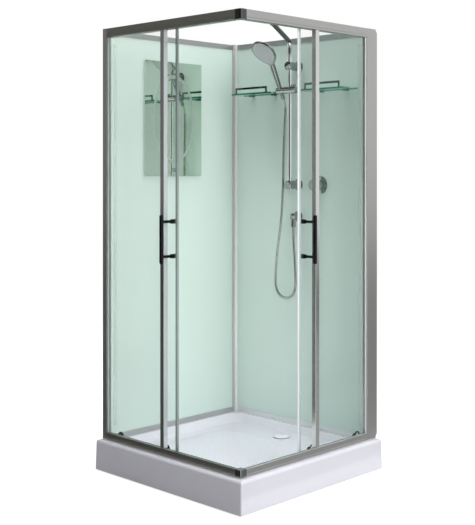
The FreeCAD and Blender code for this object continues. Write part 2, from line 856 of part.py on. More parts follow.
def post_gasket(post_inner):
    """Pale sealing strip in front of the fixed pane, along its post."""
    x_low = post_inner + seat_gap
    depth = (glass_setback - seat_gap - gasket_thickness, glass_setback - seat_gap)
    return block(
        (x_low, x_low + gasket_width), (-face + depth[0], -face + depth[1]),
        (bottom_rail_top + seat_gap, top_rail_base - seat_gap))


# Sliding doors, drawn on the front for a given place of the leading tip

def door_heights():
    """Lower and upper edge of a door pane."""
    return tray_height + door_foot_gap, top_wheel_height + door_head_margin


def roller_places(lead):
    """Places along the door and heights of the four rollers, with the words that name them."""
    front_x = lead - roller_lead_distance
    rear_x = lead - door_width + roller_trail_distance
    return {
        "top_lead": (front_x, top_wheel_height), "top_trail": (rear_x, top_wheel_height),
        "bottom_lead": (front_x, bottom_wheel_height), "bottom_trail": (rear_x, bottom_wheel_height),
    }


def handle_heights():
    """Heights of the two handle fixings."""
    return handle_height - handle_spacing / 2, handle_height + handle_spacing / 2


def door_glass(lead):
    """Sliding pane with bores for its rollers and its handle."""
    x_high = lead - seal_head - seat_gap
    x_low = lead - door_width + seal_wall + seat_gap
    pane = block((x_low, x_high), (-face + door_outer, -face + door_inner), door_heights())
    bore = (-face + door_outer - overrun, -face + door_inner + overrun)
    for x, z in roller_places(lead).values():
        pane = pane.cut(rod(hub_shank_radius + seat_gap, (x, bore[0], z), (x, bore[1], z)))
    x = lead - handle_lead_distance
    for z in handle_heights():
        pane = pane.cut(rod(handle_rod_radius + seat_gap, (x, bore[0], z), (x, bore[1], z)))
    return pane


def magnet_seal(lead):
    """Leading seal: a clip on the pane's edge and a mitred magnet head."""
    near = (door_outer - seat_gap - seal_wall, door_outer - seat_gap)
    far = (door_inner + seat_gap, door_inner + seat_gap + seal_wall)
    mitre = door_middle - near[0]
    shoulder = lead - seal_head
    clip_end = shoulder - seal_grip
    points = [
        (lead + mitre, near[0]), (lead - mitre, far[1]), (clip_end, far[1]), (clip_end, far[0]),
        (shoulder, far[0]), (shoulder, near[1]), (clip_end, near[1]), (clip_end, near[0]),
    ]
    return plan_prism(front_plan(points), *door_heights())


def fin_seal(lead):
    """Trailing seal: a clip on the pane's edge with a slanted fin towards the stile."""
    near = (door_outer - seat_gap - seal_wall, door_outer - seat_gap)
    far = (door_inner + seat_gap, door_inner + seat_gap + seal_wall)
    end = lead - door_width
    clip_end = end + fin_grip
    points = [
        (end, near[0]), (end + fin_thickness, near[0]), (end + fin_reach, near[0] - fin_reach),
        (end + fin_reach + fin_thickness, near[0] - fin_reach), (end + fin_root, near[0]),
        (clip_end, near[0]), (clip_end, near[1]), (end + seal_wall, near[1]), (end + seal_wall, far[0]),
        (clip_end, far[0]), (clip_end, far[1]), (end, far[1]),
    ]
    low, high = bottom_rail_top + fin_end_clearance, top_rail_base - fin_end_clearance
    return plan_prism(front_plan(points), low, high)


def roller_wheel(place):
    """Grooved roller on its bore, with recessed sides."""
    x, z = place
    bore = axle_radius + running_gap
    shoulder = (wheel_radius + bore) / 2
    rim = wheel_radius - wheel_web_recess
    near, far = wheel_web_recess, wheel_width - wheel_web_recess
    middle = wheel_width / 2
    profile = [
        (0, bore), (0, shoulder - wheel_web_recess), (near, shoulder), (near, rim - wheel_groove), (0, rim),
        (near, wheel_radius), (middle - wheel_groove, wheel_radius), (middle, wheel_radius - wheel_groove),
        (middle + wheel_groove, wheel_radius), (far, wheel_radius), (wheel_width, rim),
        (far, rim - wheel_groove), (far, shoulder), (wheel_width, shoulder - wheel_web_recess),
        (wheel_width, bore),
    ]
    return turned(profile, (x, -face + wheel_outer, z), (0, 1, 0))


def roller_carrier(place):
    """Axle and hub of one roller, through the pane to a domed cap on its inner side."""
    x, z = place
    head = wheel_outer - seat_gap - axle_head_thickness
    glass_near = door_outer - seat_gap
    glass_far = door_inner + seat_gap
    cap_end = glass_far + roller_cap_depth
    profile = [
        (head, 0), (head, axle_head_radius), (wheel_outer - seat_gap, axle_head_radius),
        (wheel_outer - seat_gap, axle_radius), (wheel_inner + seat_gap, axle_radius),
        (wheel_inner + seat_gap, hub_radius), (glass_near, hub_radius), (glass_near, hub_shank_radius),
        (glass_far, hub_shank_radius), (glass_far, roller_cap_radius),
        (glass_far + roller_cap_depth / 2, roller_cap_radius),
        (cap_end, roller_cap_radius * roller_cap_end_share), (cap_end, 0),
    ]
    return turned(profile, (x, -face, z), (0, 1, 0))


def handle_bar(lead):
    """Round upright pull bar with domed ends and blind seats for its two rods."""
    x = lead - handle_lead_distance
    y = -face - handle_standoff
    half = handle_length / 2
    edge = handle_end_bevel
    profile = [
        (-half, 0), (-half, handle_radius - edge), (edge - half, handle_radius),
        (half - edge, handle_radius), (half, handle_radius - edge), (half, 0),
    ]
    bar = turned(profile, (x, y, handle_height), (0, 0, 1))
    seat = y + handle_radius - handle_rod_seat
    for z in handle_heights():
        bar = bar.cut(rod(handle_rod_radius + seat_gap, (x, seat, z), (x, y + handle_radius + overrun, z)))
    return bar


def handle_fixing(lead, z):
    """One handle rod: seat in the bar, flange on the pane and knob on the inner side."""
    x = lead - handle_lead_distance
    start = handle_radius - handle_standoff - handle_rod_seat + seat_gap
    glass_near = door_outer - seat_gap
    glass_far = door_inner + seat_gap
    knob_end = glass_far + handle_knob_length
    dome = handle_knob_bevel
    profile = [
        (start, 0), (start, handle_rod_radius), (glass_near - handle_flange_thickness, handle_rod_radius),
        (glass_near - handle_flange_thickness, handle_flange_radius), (glass_near, handle_flange_radius),
        (glass_near, handle_rod_radius), (glass_far, handle_rod_radius), (glass_far, handle_knob_radius),
        (knob_end - dome, handle_knob_radius), (knob_end, handle_knob_radius - dome), (knob_end, 0),
    ]
    return turned(profile, (x, -face, z), (0, 1, 0))


# Wall panels, trims and mirror

def left_wall_panel():
    """Back-painted glass panel behind the mirror."""
    y_low = -face + post_depth - post_slot_depth + seat_gap
    y_high = back_panel_front - rear_post_slot_end - seat_gap
    return block((left_panel_back, left_panel_front), (y_low, y_high), (panel_bottom, panel_top))


def back_wall_panel():
    """Back-painted glass panel that carries the shower column."""
    x_low = left_panel_front + rear_post_slot_end + seat_gap
    x_high = face - post_depth + post_slot_depth - seat_gap
    panel = block((x_low, x_high), (back_panel_front, back_panel_back), (panel_bottom, panel_top))
    bores = [
        (0, upper_bracket_height, connection_neck_radius), (0, lower_bracket_height, connection_neck_radius),
        (0, elbow_height, connection_neck_radius), (mixer_distance, lower_bracket_height, valve_neck_radius),
    ]
    for x, z, radius in bores:
        bore = rod(radius + seat_gap, (x, back_panel_front - overrun, z), (x, back_panel_back + overrun, z))
        panel = panel.cut(bore)
    return panel


def trim_section(low, high, web_low, web_high):
    """Channel section round one panel edge, as (across, height) points, open away from its web."""
    inner = (low - seat_gap, high + seat_gap)
    outer = (inner[0] - profile_wall, inner[1] + profile_wall)
    seat = web_low + math.copysign(profile_wall, web_high - web_low)
    return [
        (outer[0], web_low), (outer[1], web_low), (outer[1], web_high), (inner[1], web_high),
        (inner[1], seat), (inner[0], seat), (inner[0], web_high), (outer[0], web_high),
    ]


def wall_panel_trims():
    """Bottom and top channels of both wall panels, cut between the posts."""
    trim_top = cabin_height - panel_top_drop
    leg = rear_post_leg - rear_post_chamfer
    y_limits = (-face + post_depth + seat_gap, back_panel_front - rear_post_flange - leg - seat_gap)
    x_limits = (left_panel_front + rear_post_flange + leg + seat_gap, face - post_depth - seat_gap)
    trims = []
    for web_low, web_high in ((rear_ledge, rear_ledge + trim_height), (trim_top, trim_top - trim_height)):
        section = trim_section(left_panel_back, left_panel_front, web_low, web_high)
        face_wire = outline([Vector(x, y_limits[0], z) for x, z in section])
        trims.append(Part.Face(face_wire).extrude(Vector(0, y_limits[1] - y_limits[0], 0)))
        section = trim_section(back_panel_front, back_panel_back, web_low, web_high)
        face_wire = outline([Vector(x_limits[0], y, z) for y, z in section])
        trims.append(Part.Face(face_wire).extrude(Vector(x_limits[1] - x_limits[0], 0, 0)))
    return trims


def mirror_places():
    """Middle of the mirror across the wall, its lower and upper edges and its fixing heights."""
    middle = (back_panel_front - face) / 2 - mirror_shift
    top = cabin_height - mirror_top_drop
    bottom = top - mirror_height
    return middle, bottom, top, (bottom + mirror_fixing_inset, top - mirror_fixing_inset)


def mirror():
    """Mirror pane with rounded corners and two bores."""
    middle, bottom, top, fixings = mirror_places()
    x = left_panel_front + mirror_standoff
    half = mirror_width / 2
    pane = block((x, x + mirror_thickness), (middle - half, middle + half), (bottom, top))
    corners = [e for e in pane.Edges if e.BoundBox.XLength > mirror_thickness / 2]
    pane = pane.makeFillet(mirror_corner_radius, corners)
    far = x + mirror_thickness + overrun
    for z in fixings:
        pane = pane.cut(rod(mirror_fixing_radius + seat_gap, (x - overrun, middle, z), (far, middle, z)))
    return pane


def mirror_fixings():
    """Spacer, shank and domed cap at the top and bottom of the mirror."""
    middle, bottom, top, heights = mirror_places()
    near = left_panel_front + mirror_standoff - seat_gap
    far = left_panel_front + mirror_standoff + mirror_thickness + seat_gap
    cap_end = far + mirror_cap_depth
    profile = [
        (left_panel_front, 0), (left_panel_front, mirror_cap_radius), (near, mirror_cap_radius),
        (near, mirror_fixing_radius), (far, mirror_fixing_radius), (far, mirror_cap_radius),
        (far + mirror_cap_depth / 2, mirror_cap_radius), (cap_end, mirror_cap_radius * mirror_cap_end_share),
        (cap_end, 0),
    ]
    return [turned(profile, (0, middle, z), (1, 0, 0)) for z in heights]


# Shelves

def shelf_base():
    """Height of the underside of the shelves."""
    return cabin_height - shelf_drop - shelf_thickness


def shelf_back():
    """Back edge of the shelves, in front of the clips' backs."""
    return wall_seat - shelf_clip_back - seat_gap


def shelf(side):
    """Glass shelf with rounded front corners."""
    middle = side * shelf_centre_distance
    half = shelf_width / 2
    y_high = shelf_back()
    y_low = y_high - shelf_depth
    heights = (shelf_base(), shelf_base() + shelf_thickness)
    pane = block((middle - half, middle + half), (y_low, y_high), heights)
    corners = upright_edges(pane, middle - half, y_low) + upright_edges(pane, middle + half, y_low)
    return pane.makeFillet(shelf_corner_radius, corners)


def shelf_clip(middle):
    """Clip on the wall that grips the back edge of a shelf."""
    low = shelf_base() - seat_gap
    high = shelf_base() + shelf_thickness + seat_gap
    y_wall = wall_seat
    y_slot = y_wall - shelf_clip_back
    y_jaw = y_wall - shelf_clip_depth
    nose = shelf_clip_wall / 2
    y_upper = y_wall - shelf_clip_upper_depth
    section = [
        (y_wall, low - shelf_clip_wall), (y_wall, high + shelf_clip_wall), (y_upper, high + shelf_clip_wall),
        (y_upper, high), (y_slot, high), (y_slot, low), (y_jaw, low), (y_jaw, low - nose),
        (y_jaw + nose, low - shelf_clip_wall),
    ]
    x = middle - shelf_clip_width / 2
    return Part.Face(outline([Vector(x, y, z) for y, z in section])).extrude(Vector(shelf_clip_width, 0, 0))


def shelf_clips():
    """Two clips for each shelf."""
    reach = shelf_width / 2 - shelf_clip_end_distance
    clips = []
    for side in (-1, 1):
        for step in (-reach, reach):
            clips.append(shelf_clip(side * shelf_centre_distance + step))
    return clips


def shelf_gallery(side):
    """Low rail along the front of a shelf: a flat bar on two posts with round feet."""
    middle = side * shelf_centre_distance
    half = shelf_width / 2 - gallery_end_distance
    y = shelf_back() - shelf_depth + gallery_edge_distance
    base = shelf_base() + shelf_thickness
    foot = base + gallery_foot_height
    top = base + gallery_rise
    flat = (y - gallery_bar_thickness / 2, y + gallery_bar_thickness / 2)
    reach = half + gallery_post_width / 2
    rail = block((middle - reach, middle + reach), flat, (top - gallery_bar_height, top))
    for x in (middle - half, middle + half):
        rail = rail.fuse(block((x - gallery_post_width / 2, x + gallery_post_width / 2), flat, (foot, top)))
        rail = rail.fuse(rod(gallery_foot_radius, (x, y, base), (x, y, foot)))
    return rail.removeSplitter()


# Shower column

def arm_direction():
    """Direction of the overhead arm, forwards and up."""
    angle = math.radians(arm_angle)
    return Vector(0, -math.cos(angle), math.sin(angle))


def arm_tip():
    """End of the bent tube, where the collar of the overhead outlet starts."""
    return Vector(0, column_y, cabin_height - riser_bend_drop) + arm_direction() * arm_length


def riser_rail():
    """Hollow riser bent into the overhead arm, with a collar and a spigot for an overhead shower."""
    foot = lower_bracket_height - bracket_radius - riser_tail
    points = [Vector(0, column_y, foot), Vector(0, column_y, cabin_height - riser_bend_drop), arm_tip()]
    path = bent_path(points, [riser_bend_radius])
    tube = pipe(path, riser_radius).cut(pipe(path, riser_radius - riser_wall))
    cap = rod(riser_radius, (0, column_y, foot), (0, column_y, foot + riser_wall))
    bore = riser_radius - riser_wall - riser_wall
    middle_wall = riser_radius - riser_wall / 2
    ends = [
        (-arm_collar_length, middle_wall), (-arm_collar_length, arm_collar_radius - riser_wall),
        (riser_wall - arm_collar_length, arm_collar_radius), (0, arm_collar_radius), (0, arm_spigot_radius),
        (arm_spigot_length, arm_spigot_radius), (arm_spigot_length, bore), (-riser_wall, bore),
        (-riser_wall, middle_wall),
    ]
    collar = turned(ends, arm_tip(), arm_direction())
    return tube.fuse(cap).fuse(collar).removeSplitter()


def panel_connection():
    """Profile behind a wall fitting, in distances from the panel's front: pipe end, back nut and neck."""
    nut_near = -(glass_thickness + seat_gap)
    nut_far = nut_near - back_nut_thickness
    end = nut_far - connection_length
    return [
        (end, 0), (end, connection_radius), (nut_far, connection_radius), (nut_far, back_nut_radius),
        (nut_near, back_nut_radius), (nut_near, connection_neck_radius), (seat_gap, connection_neck_radius),
    ]


def riser_brackets():
    """Round wall brackets that the riser passes through, with flange and domed nose."""
    nose = column_standoff + bracket_nose
    profile = panel_connection() + [
        (seat_gap, bracket_flange_radius), (bracket_flange_thickness / 2, bracket_flange_radius),
        (bracket_flange_thickness, bracket_radius), (nose - bracket_dome, bracket_radius),
        (nose, bracket_radius - bracket_dome), (nose, 0),
    ]
    reach = bracket_radius + overrun
    brackets = []
    for z in (lower_bracket_height, upper_bracket_height):
        bracket = turned(profile, (0, back_panel_front, z), (0, -1, 0))
        bore = rod(riser_radius + running_gap, (0, column_y, z - reach), (0, column_y, z + reach))
        brackets.append(bracket.cut(bore))
    return brackets


def slider():
    """Holder that slides on the riser: level barrel with an upright bore and a pivot on its end."""
    profile = [
        (-slider_right, 0), (-slider_right, slider_radius - slider_edge),
        (slider_edge - slider_right, slider_radius), (slider_left - slider_edge, slider_radius),
        (slider_left, slider_radius - slider_edge), (slider_left, pivot_radius),
        (slider_left + pivot_length, pivot_radius), (slider_left + pivot_length, 0),
    ]
    body = turned(profile, (0, column_y, slider_height), (-1, 0, 0))
    low, high = slider_height - slider_radius - overrun, slider_height + slider_radius + overrun
    body = body.cut(rod(riser_radius + running_gap, (0, column_y, low), (0, column_y, high)))
    seat = slider_height + slider_radius - lock_stem_depth - seat_gap
    stem = rod(
        lock_stem_radius + running_gap, (lock_knob_distance, column_y, seat),
        (lock_knob_distance, column_y, high))
    flat = block(
        (lock_knob_distance - lock_knob_radius - seat_gap, slider_right + overrun),
        (column_y - slider_radius, column_y + slider_radius),
        (slider_height + slider_radius - slider_edge, high))
    return body.cut(stem).cut(flat)


def lock_knob():
    """Knob that clamps the slider, with a short lever."""
    base = slider_height + slider_radius - slider_edge + seat_gap
    stem = slider_height + slider_radius - lock_stem_depth
    top = base + lock_knob_height
    edge = lock_knob_bevel
    profile = [
        (stem, 0), (stem, lock_stem_radius), (base, lock_stem_radius), (base, lock_knob_radius),
        (top - edge, lock_knob_radius), (top, lock_knob_radius - edge), (top, 0),
    ]
    knob = turned(profile, (lock_knob_distance, column_y, 0), (0, 0, 1))
    lever = block(
        (lock_knob_distance - lock_lever_height / 2, lock_knob_distance + lock_lever_height / 2),
        (column_y - lock_lever_length, column_y), (top - lock_lever_height - edge, top - edge))
    return knob.fuse(lever).removeSplitter()


def along_handle(distance):
    """Point on the handle's axis at a distance above the cradle's axis."""
    return handset_pivot + handle_direction * distance


def cradle():
    """Tilting barrel on the slider's pivot, with a tapered bore for the hand shower."""
    length = cradle_length
    edge = cradle_edge
    profile = [
        (0, 0), (0, cradle_radius - edge), (edge, cradle_radius), (length - edge, cradle_radius),
        (length, cradle_radius - edge), (length, 0),
    ]
    barrel = turned(profile, (-(slider_left + cradle_gap), column_y, slider_height), (-1, 0, 0))
    pivot_end = slider_left + pivot_length + seat_gap
    pivot = rod(
        pivot_radius + running_gap, (-slider_left + overrun, column_y, slider_height),
        (-pivot_end, column_y, slider_height))
    barrel = barrel.cut(pivot)
    slope = (cone_high_radius - cone_low_radius) / (cone_low_reach + cone_high_reach)
    reach = cradle_radius + overrun
    low = cone_low_radius + seat_gap - slope * (reach - cone_low_reach)
    high = cone_high_radius + seat_gap + slope * (reach - cone_high_reach)
    taper = Part.makeCone(low, high, 2 * reach, along_handle(-reach), handle_direction)
    return barrel.cut(taper)


def head_places():
    """Middle of the wide end of the spray face, the way the face looks and the way the head leans."""
    tilt = math.radians(handset_lean + handset_head_bend)
    head_axis = Vector(0, -math.sin(tilt), math.cos(tilt))
    face_way = Vector(0, -math.cos(tilt), -math.sin(tilt))
    middle = along_handle(head_reach) + head_axis * head_tail_distance + face_way * (head_thickness / 2)
    return middle, face_way, head_axis


def drop_outline(inset, depth, width_share):
    """Drop-shaped wire round the head, drawn in by an inset and scaled, at a depth behind the face."""
    middle, face_way, head_axis = head_places()
    centre = middle - face_way * depth
    wide = (head_radius - inset) * width_share
    slim = (head_tail_radius - inset) * width_share
    run = head_tail_distance * width_share
    across = Vector(1, 0, 0)
    leaning = math.asin((wide - slim) / run)

    def spot(along, radius, angle):
        return centre + head_axis * (along + radius * math.sin(angle)) + across * (radius * math.cos(angle))

    wide_right, wide_left = spot(0, wide, -leaning), spot(0, wide, math.pi + leaning)
    slim_right, slim_left = spot(-run, slim, -leaning), spot(-run, slim, math.pi + leaning)
    edges = [
        Part.Arc(wide_right, spot(0, wide, math.pi / 2), wide_left).toShape(),
        Part.LineSegment(wide_left, slim_left).toShape(),
        Part.Arc(slim_left, spot(-run, slim, -math.pi / 2), slim_right).toShape(),
        Part.LineSegment(slim_right, wide_right).toShape(),
    ]
    return Part.Wire(edges)


def handset_neck():
    """Smooth neck from the round grip into the head."""
    middle, face_way, head_axis = head_places()
    throat = along_handle(head_reach) + head_axis * head_throat_run
    places = [
        (along_handle(grip_reach), handle_direction, grip_radius),
        (along_handle(neck_reach), handle_direction + head_axis, neck_radius),
        (throat, head_axis, head_throat_radius),
    ]
    rings = [Part.Wire(Part.makeCircle(radius, centre, way)) for centre, way, radius in places]
    return Part.makeLoft(rings, True)


def hand_shower():
    """Hand shower: tapered end with the hose nut, swelling grip, neck and a drop-shaped head."""
    cone_low = -cone_low_reach
    nut_low = cone_low - hose_nut_length
    profile = [
        (nut_low, 0), (nut_low, hose_nut_radius - hose_nut_bevel),
        (nut_low + hose_nut_bevel, hose_nut_radius), (cone_low - seat_gap, hose_nut_radius),
        (cone_low, cone_low_radius), (cone_high_reach, cone_high_radius), (grip_reach, grip_radius),
        (grip_reach, 0),
    ]
    body = turned(profile, handset_pivot, handle_direction)
    rings = [drop_outline(head_face_inset, 0, 1), drop_outline(0, head_rim, 1)]
    for depth_share, width_share in zip(head_back_depth_shares, head_back_width_shares):
        rings.append(drop_outline(0, head_thickness * depth_share, width_share))
    head = Part.makeLoft(rings, True, True)
    middle, face_way, head_axis = head_places()
    recess = Part.Face(drop_outline(spray_plate_margin - seat_gap, spray_plate_thickness, 1))
    recess = recess.extrude(face_way * (spray_plate_thickness + overrun))
    return body.fuse(handset_neck()).fuse(head).cut(recess).removeSplitter()


def spray_plate():
    """Pale spray face in the recess of the head."""
    middle, face_way, head_axis = head_places()
    plate = Part.Face(drop_outline(spray_plate_margin, spray_plate_thickness - seat_gap, 1))
    return plate.extrude(face_way * (spray_plate_thickness - seat_gap + spray_plate_rise))


def hose():
    """Flexible hose along its route, hollow, with its bends as large as the runs allow."""
    points = [Vector(*point) for point in hose_route]
    radii = []
    for before, corner, after in zip(points, points[1:], points[2:]):
        half_turn = (math.pi - (before - corner).getAngle(after - corner)) / 2
        run = min((corner - before).Length, (after - corner).Length)
        radii.append(hose_arc_share * run / math.tan(half_turn))
    path = bent_path(points, radii)
    tube = pipe(path, hose_radius).cut(pipe(path, hose_bore_radius))
    section = math.pi * (hose_radius ** 2 - hose_bore_radius ** 2)
    print("hose bend radii", [round(radius) for radius in radii])
    solid_share = tube.Volume / section / path.Length
    print("hose length", round(path.Length), "volume over section times length", round(solid_share, 4))
    return tube


def wall_elbow():
    """Wall outlet below the riser: flange, elbow and the hose's nut pointing down."""
    reach = elbow_reach
    profile = panel_connection() + [
        (seat_gap, elbow_flange_radius), (elbow_flange_thickness / 2, elbow_flange_radius),
        (elbow_flange_thickness, elbow_radius), (reach + elbow_radius / 2, elbow_radius),
        (reach + elbow_radius, elbow_radius / 2), (reach + elbow_radius, 0),
    ]
    body = turned(profile, (0, back_panel_front, elbow_height), (0, -1, 0))
    y = back_panel_front - reach
    nut_low = elbow_height - elbow_nut_drop
    edge = elbow_nut_bevel
    drop = [
        (nut_low, 0), (nut_low, elbow_nut_radius - edge), (nut_low + edge, elbow_nut_radius),
        (nut_low + elbow_nut_height, elbow_nut_radius), (nut_low + elbow_nut_height, elbow_nut_radius - edge),
        (elbow_height, elbow_nut_radius - edge), (elbow_height, 0),
    ]
    return body.fuse(turned(drop, (0, y, 0), (0, 0, 1))).removeSplitter()


# Mixer

def mixer_axis_point(reach):
    """Point on the mixer's axis at a distance from the wall panel."""
    return (mixer_distance, back_panel_front - reach, lower_bracket_height)


def mixer_valve():
    """Valve body behind the panel: hot and cold inlets below it and the outlet above."""
    middle = Vector(*mixer_axis_point(-glass_thickness - valve_gap - valve_radius))
    half = Vector(valve_length / 2, 0, 0)
    body = rod(valve_radius, middle - half, middle + half)
    shoulder = valve_radius + valve_collar_rise
    end = shoulder + valve_port_length
    port = [
        (0, 0), (0, valve_collar_radius), (shoulder, valve_collar_radius), (shoulder, connection_radius),
        (end, connection_radius), (end, 0),
    ]
    spread = Vector(valve_inlet_spacing / 2, 0, 0)
    for place, way in ((middle - spread, -1), (middle + spread, -1), (middle, 1)):
        body = body.fuse(turned(port, place, (0, 0, way)))
    return body


def mixer_plate():
    """Round wall plate with its fixed collar and spindle, on the valve body behind the panel."""
    collar_end = mixer_collar_reach
    behind = -(glass_thickness + valve_gap + valve_radius)
    spindle_end = mixer_knob_reach - mixer_knob_wall
    profile = [
        (behind, 0), (behind, valve_neck_radius), (seat_gap, valve_neck_radius),
        (seat_gap, mixer_plate_radius), (mixer_plate_thickness / 2, mixer_plate_radius),
        (mixer_plate_thickness, mixer_collar_radius),
        (collar_end, mixer_collar_radius), (collar_end, mixer_spindle_radius),
        (spindle_end, mixer_spindle_radius), (spindle_end, 0),
    ]
    return turned(profile, mixer_axis_point(0), (0, -1, 0)).fuse(mixer_valve()).removeSplitter()


def mixer_knob():
    """Turning sleeve for the water's warmth, with ears for the lever's pin."""
    start, end = mixer_knob_start, mixer_knob_reach
    edge = mixer_knob_bevel
    bore = mixer_spindle_radius + running_gap
    bore_end = mixer_knob_reach - mixer_knob_wall + seat_gap
    profile = [
        (start, bore), (start, mixer_knob_radius - edge), (start + edge, mixer_knob_radius),
        (end - edge, mixer_knob_radius), (end, mixer_knob_radius - edge), (end, 0),
        (bore_end, 0), (bore_end, bore),
    ]
    knob = turned(profile, mixer_axis_point(0), (0, -1, 0))
    return knob.fuse(lever_pin())


def lever_pin():
    """Cross pin that the lever rocks on, carried by an ear on the front of the sleeve."""
    middle = Vector(*mixer_axis_point((mixer_knob_reach + lever_cap_reach) / 2))
    half = lever_cap_radius / 2
    pin = rod(lever_pin_radius, middle - Vector(half, 0, 0), middle + Vector(half, 0, 0))
    ear_half = lever_pin_radius
    ear = block(
        (mixer_distance - ear_half, mixer_distance + ear_half),
        (middle.y - lever_pin_radius, back_panel_front - mixer_knob_reach + mixer_knob_wall / 2),
        (middle.z - lever_pin_radius, middle.z + lever_pin_radius))
    return pin.fuse(ear)


def mixer_lever():
    """Lever cap that rocks on its pin to open the water, with a slim rod pointing down."""
    start, end = mixer_knob_reach + lever_back_gap, lever_cap_reach
    edge = lever_bevel
    profile = [
        (start, 0), (start, lever_cap_radius - edge), (start + edge, lever_cap_radius),
        (end - edge, lever_cap_radius), (end, lever_cap_radius - edge), (end, 0),
    ]
    cap = turned(profile, mixer_axis_point(0), (0, -1, 0))
    middle = Vector(*mixer_axis_point((mixer_knob_reach + lever_cap_reach) / 2))
    foot = middle - Vector(0, 0, lever_cap_radius + lever_rod_length)
    cap = cap.fuse(rod(lever_rod_radius, middle, foot))
    half = lever_cap_radius / 2 + seat_gap
    pin = rod(lever_pin_radius + running_gap, middle - Vector(half, 0, 0), middle + Vector(half, 0, 0))
    ear_half = lever_pin_radius + lever_pocket_gap
    pocket = block(
        (mixer_distance - ear_half, mixer_distance + ear_half),
        (middle.y - ear_half, back_panel_front - mixer_knob_reach + overrun),
        (middle.z - ear_half, middle.z + ear_half))
    sleeve_front = back_panel_front - mixer_knob_reach - seat_gap
    swept = block(
        (mixer_distance - mixer_knob_radius, mixer_distance + mixer_knob_radius),
        (sleeve_front, back_panel_front), (middle.z - mixer_knob_radius, middle.z + mixer_knob_radius))
    swept.rotate(middle, Vector(1, 0, 0), lever_lift_angle)
    return cap.cut(pin).cut(pocket).cut(swept).removeSplitter()


# Assembly: every piece by the name of its node

def front_rails():
    """Rails of the front, from the left post to the corner joint."""
    end = face - rail_depth
    upper = softened(top_rail(left_post_inner, end), (cabin_height, top_rail_base))
    lower = softened(bottom_rail(left_post_inner, end), (bottom_rail_top,))
    return upper, lower


def side_rails():
    """Rails of the second glazed side, from the right post to the corner joint."""
    end = face - rail_depth
    upper = softened(top_rail(-right_post_inner, end), (cabin_height, top_rail_base))
    lower = softened(bottom_rail(-right_post_inner, end), (bottom_rail_top,))
    return to_side(upper), to_side(lower)


def door_pieces(name, lead, place):
    """All nodes of one door, carried to its side of the cabin."""
    pieces = {
        name + "_door_glass": [door_glass(lead)],
        name + "_door_magnet_seal": [magnet_seal(lead)],
        name + "_door_fin_seal": [fin_seal(lead)],
        name + "_door_handle_bar": [handle_bar(lead)],
        name + "_door_handle_fixings": [handle_fixing(lead, z) for z in handle_heights()],
        name + "_door_roller_carriers": [roller_carrier(spot) for spot in roller_places(lead).values()],
    }
    for words, spot in roller_places(lead).items():
        pieces[name + "_" + words + "_wheel"] = [roller_wheel(spot)]
    return {node: [place(solid) for solid in solids] for node, solids in pieces.items()}


def assembly():
    """Every node of the cabin and the solids that it holds."""
    front_top, front_bottom = front_rails()
    side_top, side_bottom = side_rails()
    nodes = {
        "tray": [tray()],
        "levelling_feet": levelling_feet(),
        "waste_body": [waste_body()],
        "drain_cover": [drain_cover()],
        "left_post": [left_post()],
        "right_post": [right_post()],
        "right_wall_profile": [right_wall_profile()],
        "rear_corner_post": [rear_corner_post()],
        "front_top_rail": [front_top],
        "front_bottom_rail": [front_bottom],
        "side_top_rail": [side_top],
        "side_bottom_rail": [side_bottom],
        "top_corner_joint": [corner_joint(top_rail_base, cabin_height)],
        "bottom_corner_joint": [corner_joint(tray_height, bottom_rail_top)],
        "front_fixed_glass": [fixed_glass(left_post_inner)],
        "side_fixed_glass": [to_side(fixed_glass(-right_post_inner))],
        "front_fixed_stile": [fixed_stile()],
        "side_fixed_stile": [to_side(fixed_stile())],
        "post_gaskets": [post_gasket(left_post_inner), to_side(post_gasket(-right_post_inner))],
        "left_wall_panel": [left_wall_panel()],
        "back_wall_panel": [back_wall_panel()],
        "wall_panel_trims": wall_panel_trims(),
        "mirror": [mirror()],
        "mirror_fixings": mirror_fixings(),
        "left_shelf": [shelf(-1)],
        "right_shelf": [shelf(1)],
        "shelf_clips": shelf_clips(),
        "shelf_galleries": [shelf_gallery(-1), shelf_gallery(1)],
        "riser_rail": [riser_rail()],
        "riser_brackets": riser_brackets(),
        "slider": [slider()],
        "slider_lock_knob": [lock_knob()],
        "handset_cradle": [cradle()],
        "hand_shower": [hand_shower()],
        "spray_plate": [spray_plate()],
        "hose": [hose()],
        "wall_elbow": [wall_elbow()],
        "mixer_plate": [mixer_plate()],
        "mixer_knob": [mixer_knob()],
        "mixer_lever": [mixer_lever()],
    }
    nodes.update(door_pieces("front", front_door_lead, lambda solid: solid))
    nodes.update(door_pieces("side", side_door_lead, to_side))
    return nodes


os.makedirs("parts", exist_ok=True)
for node, solids in assembly().items():
    shape = solids[0] if len(solids) == 1 else Part.makeCompound(solids)
    if not shape.isValid() or len(shape.Solids) != len(solids):
        print("check", node, shape.isValid(), len(shape.Solids), "solids for", len(solids))
    shape.exportStep("parts/" + node + ".step")
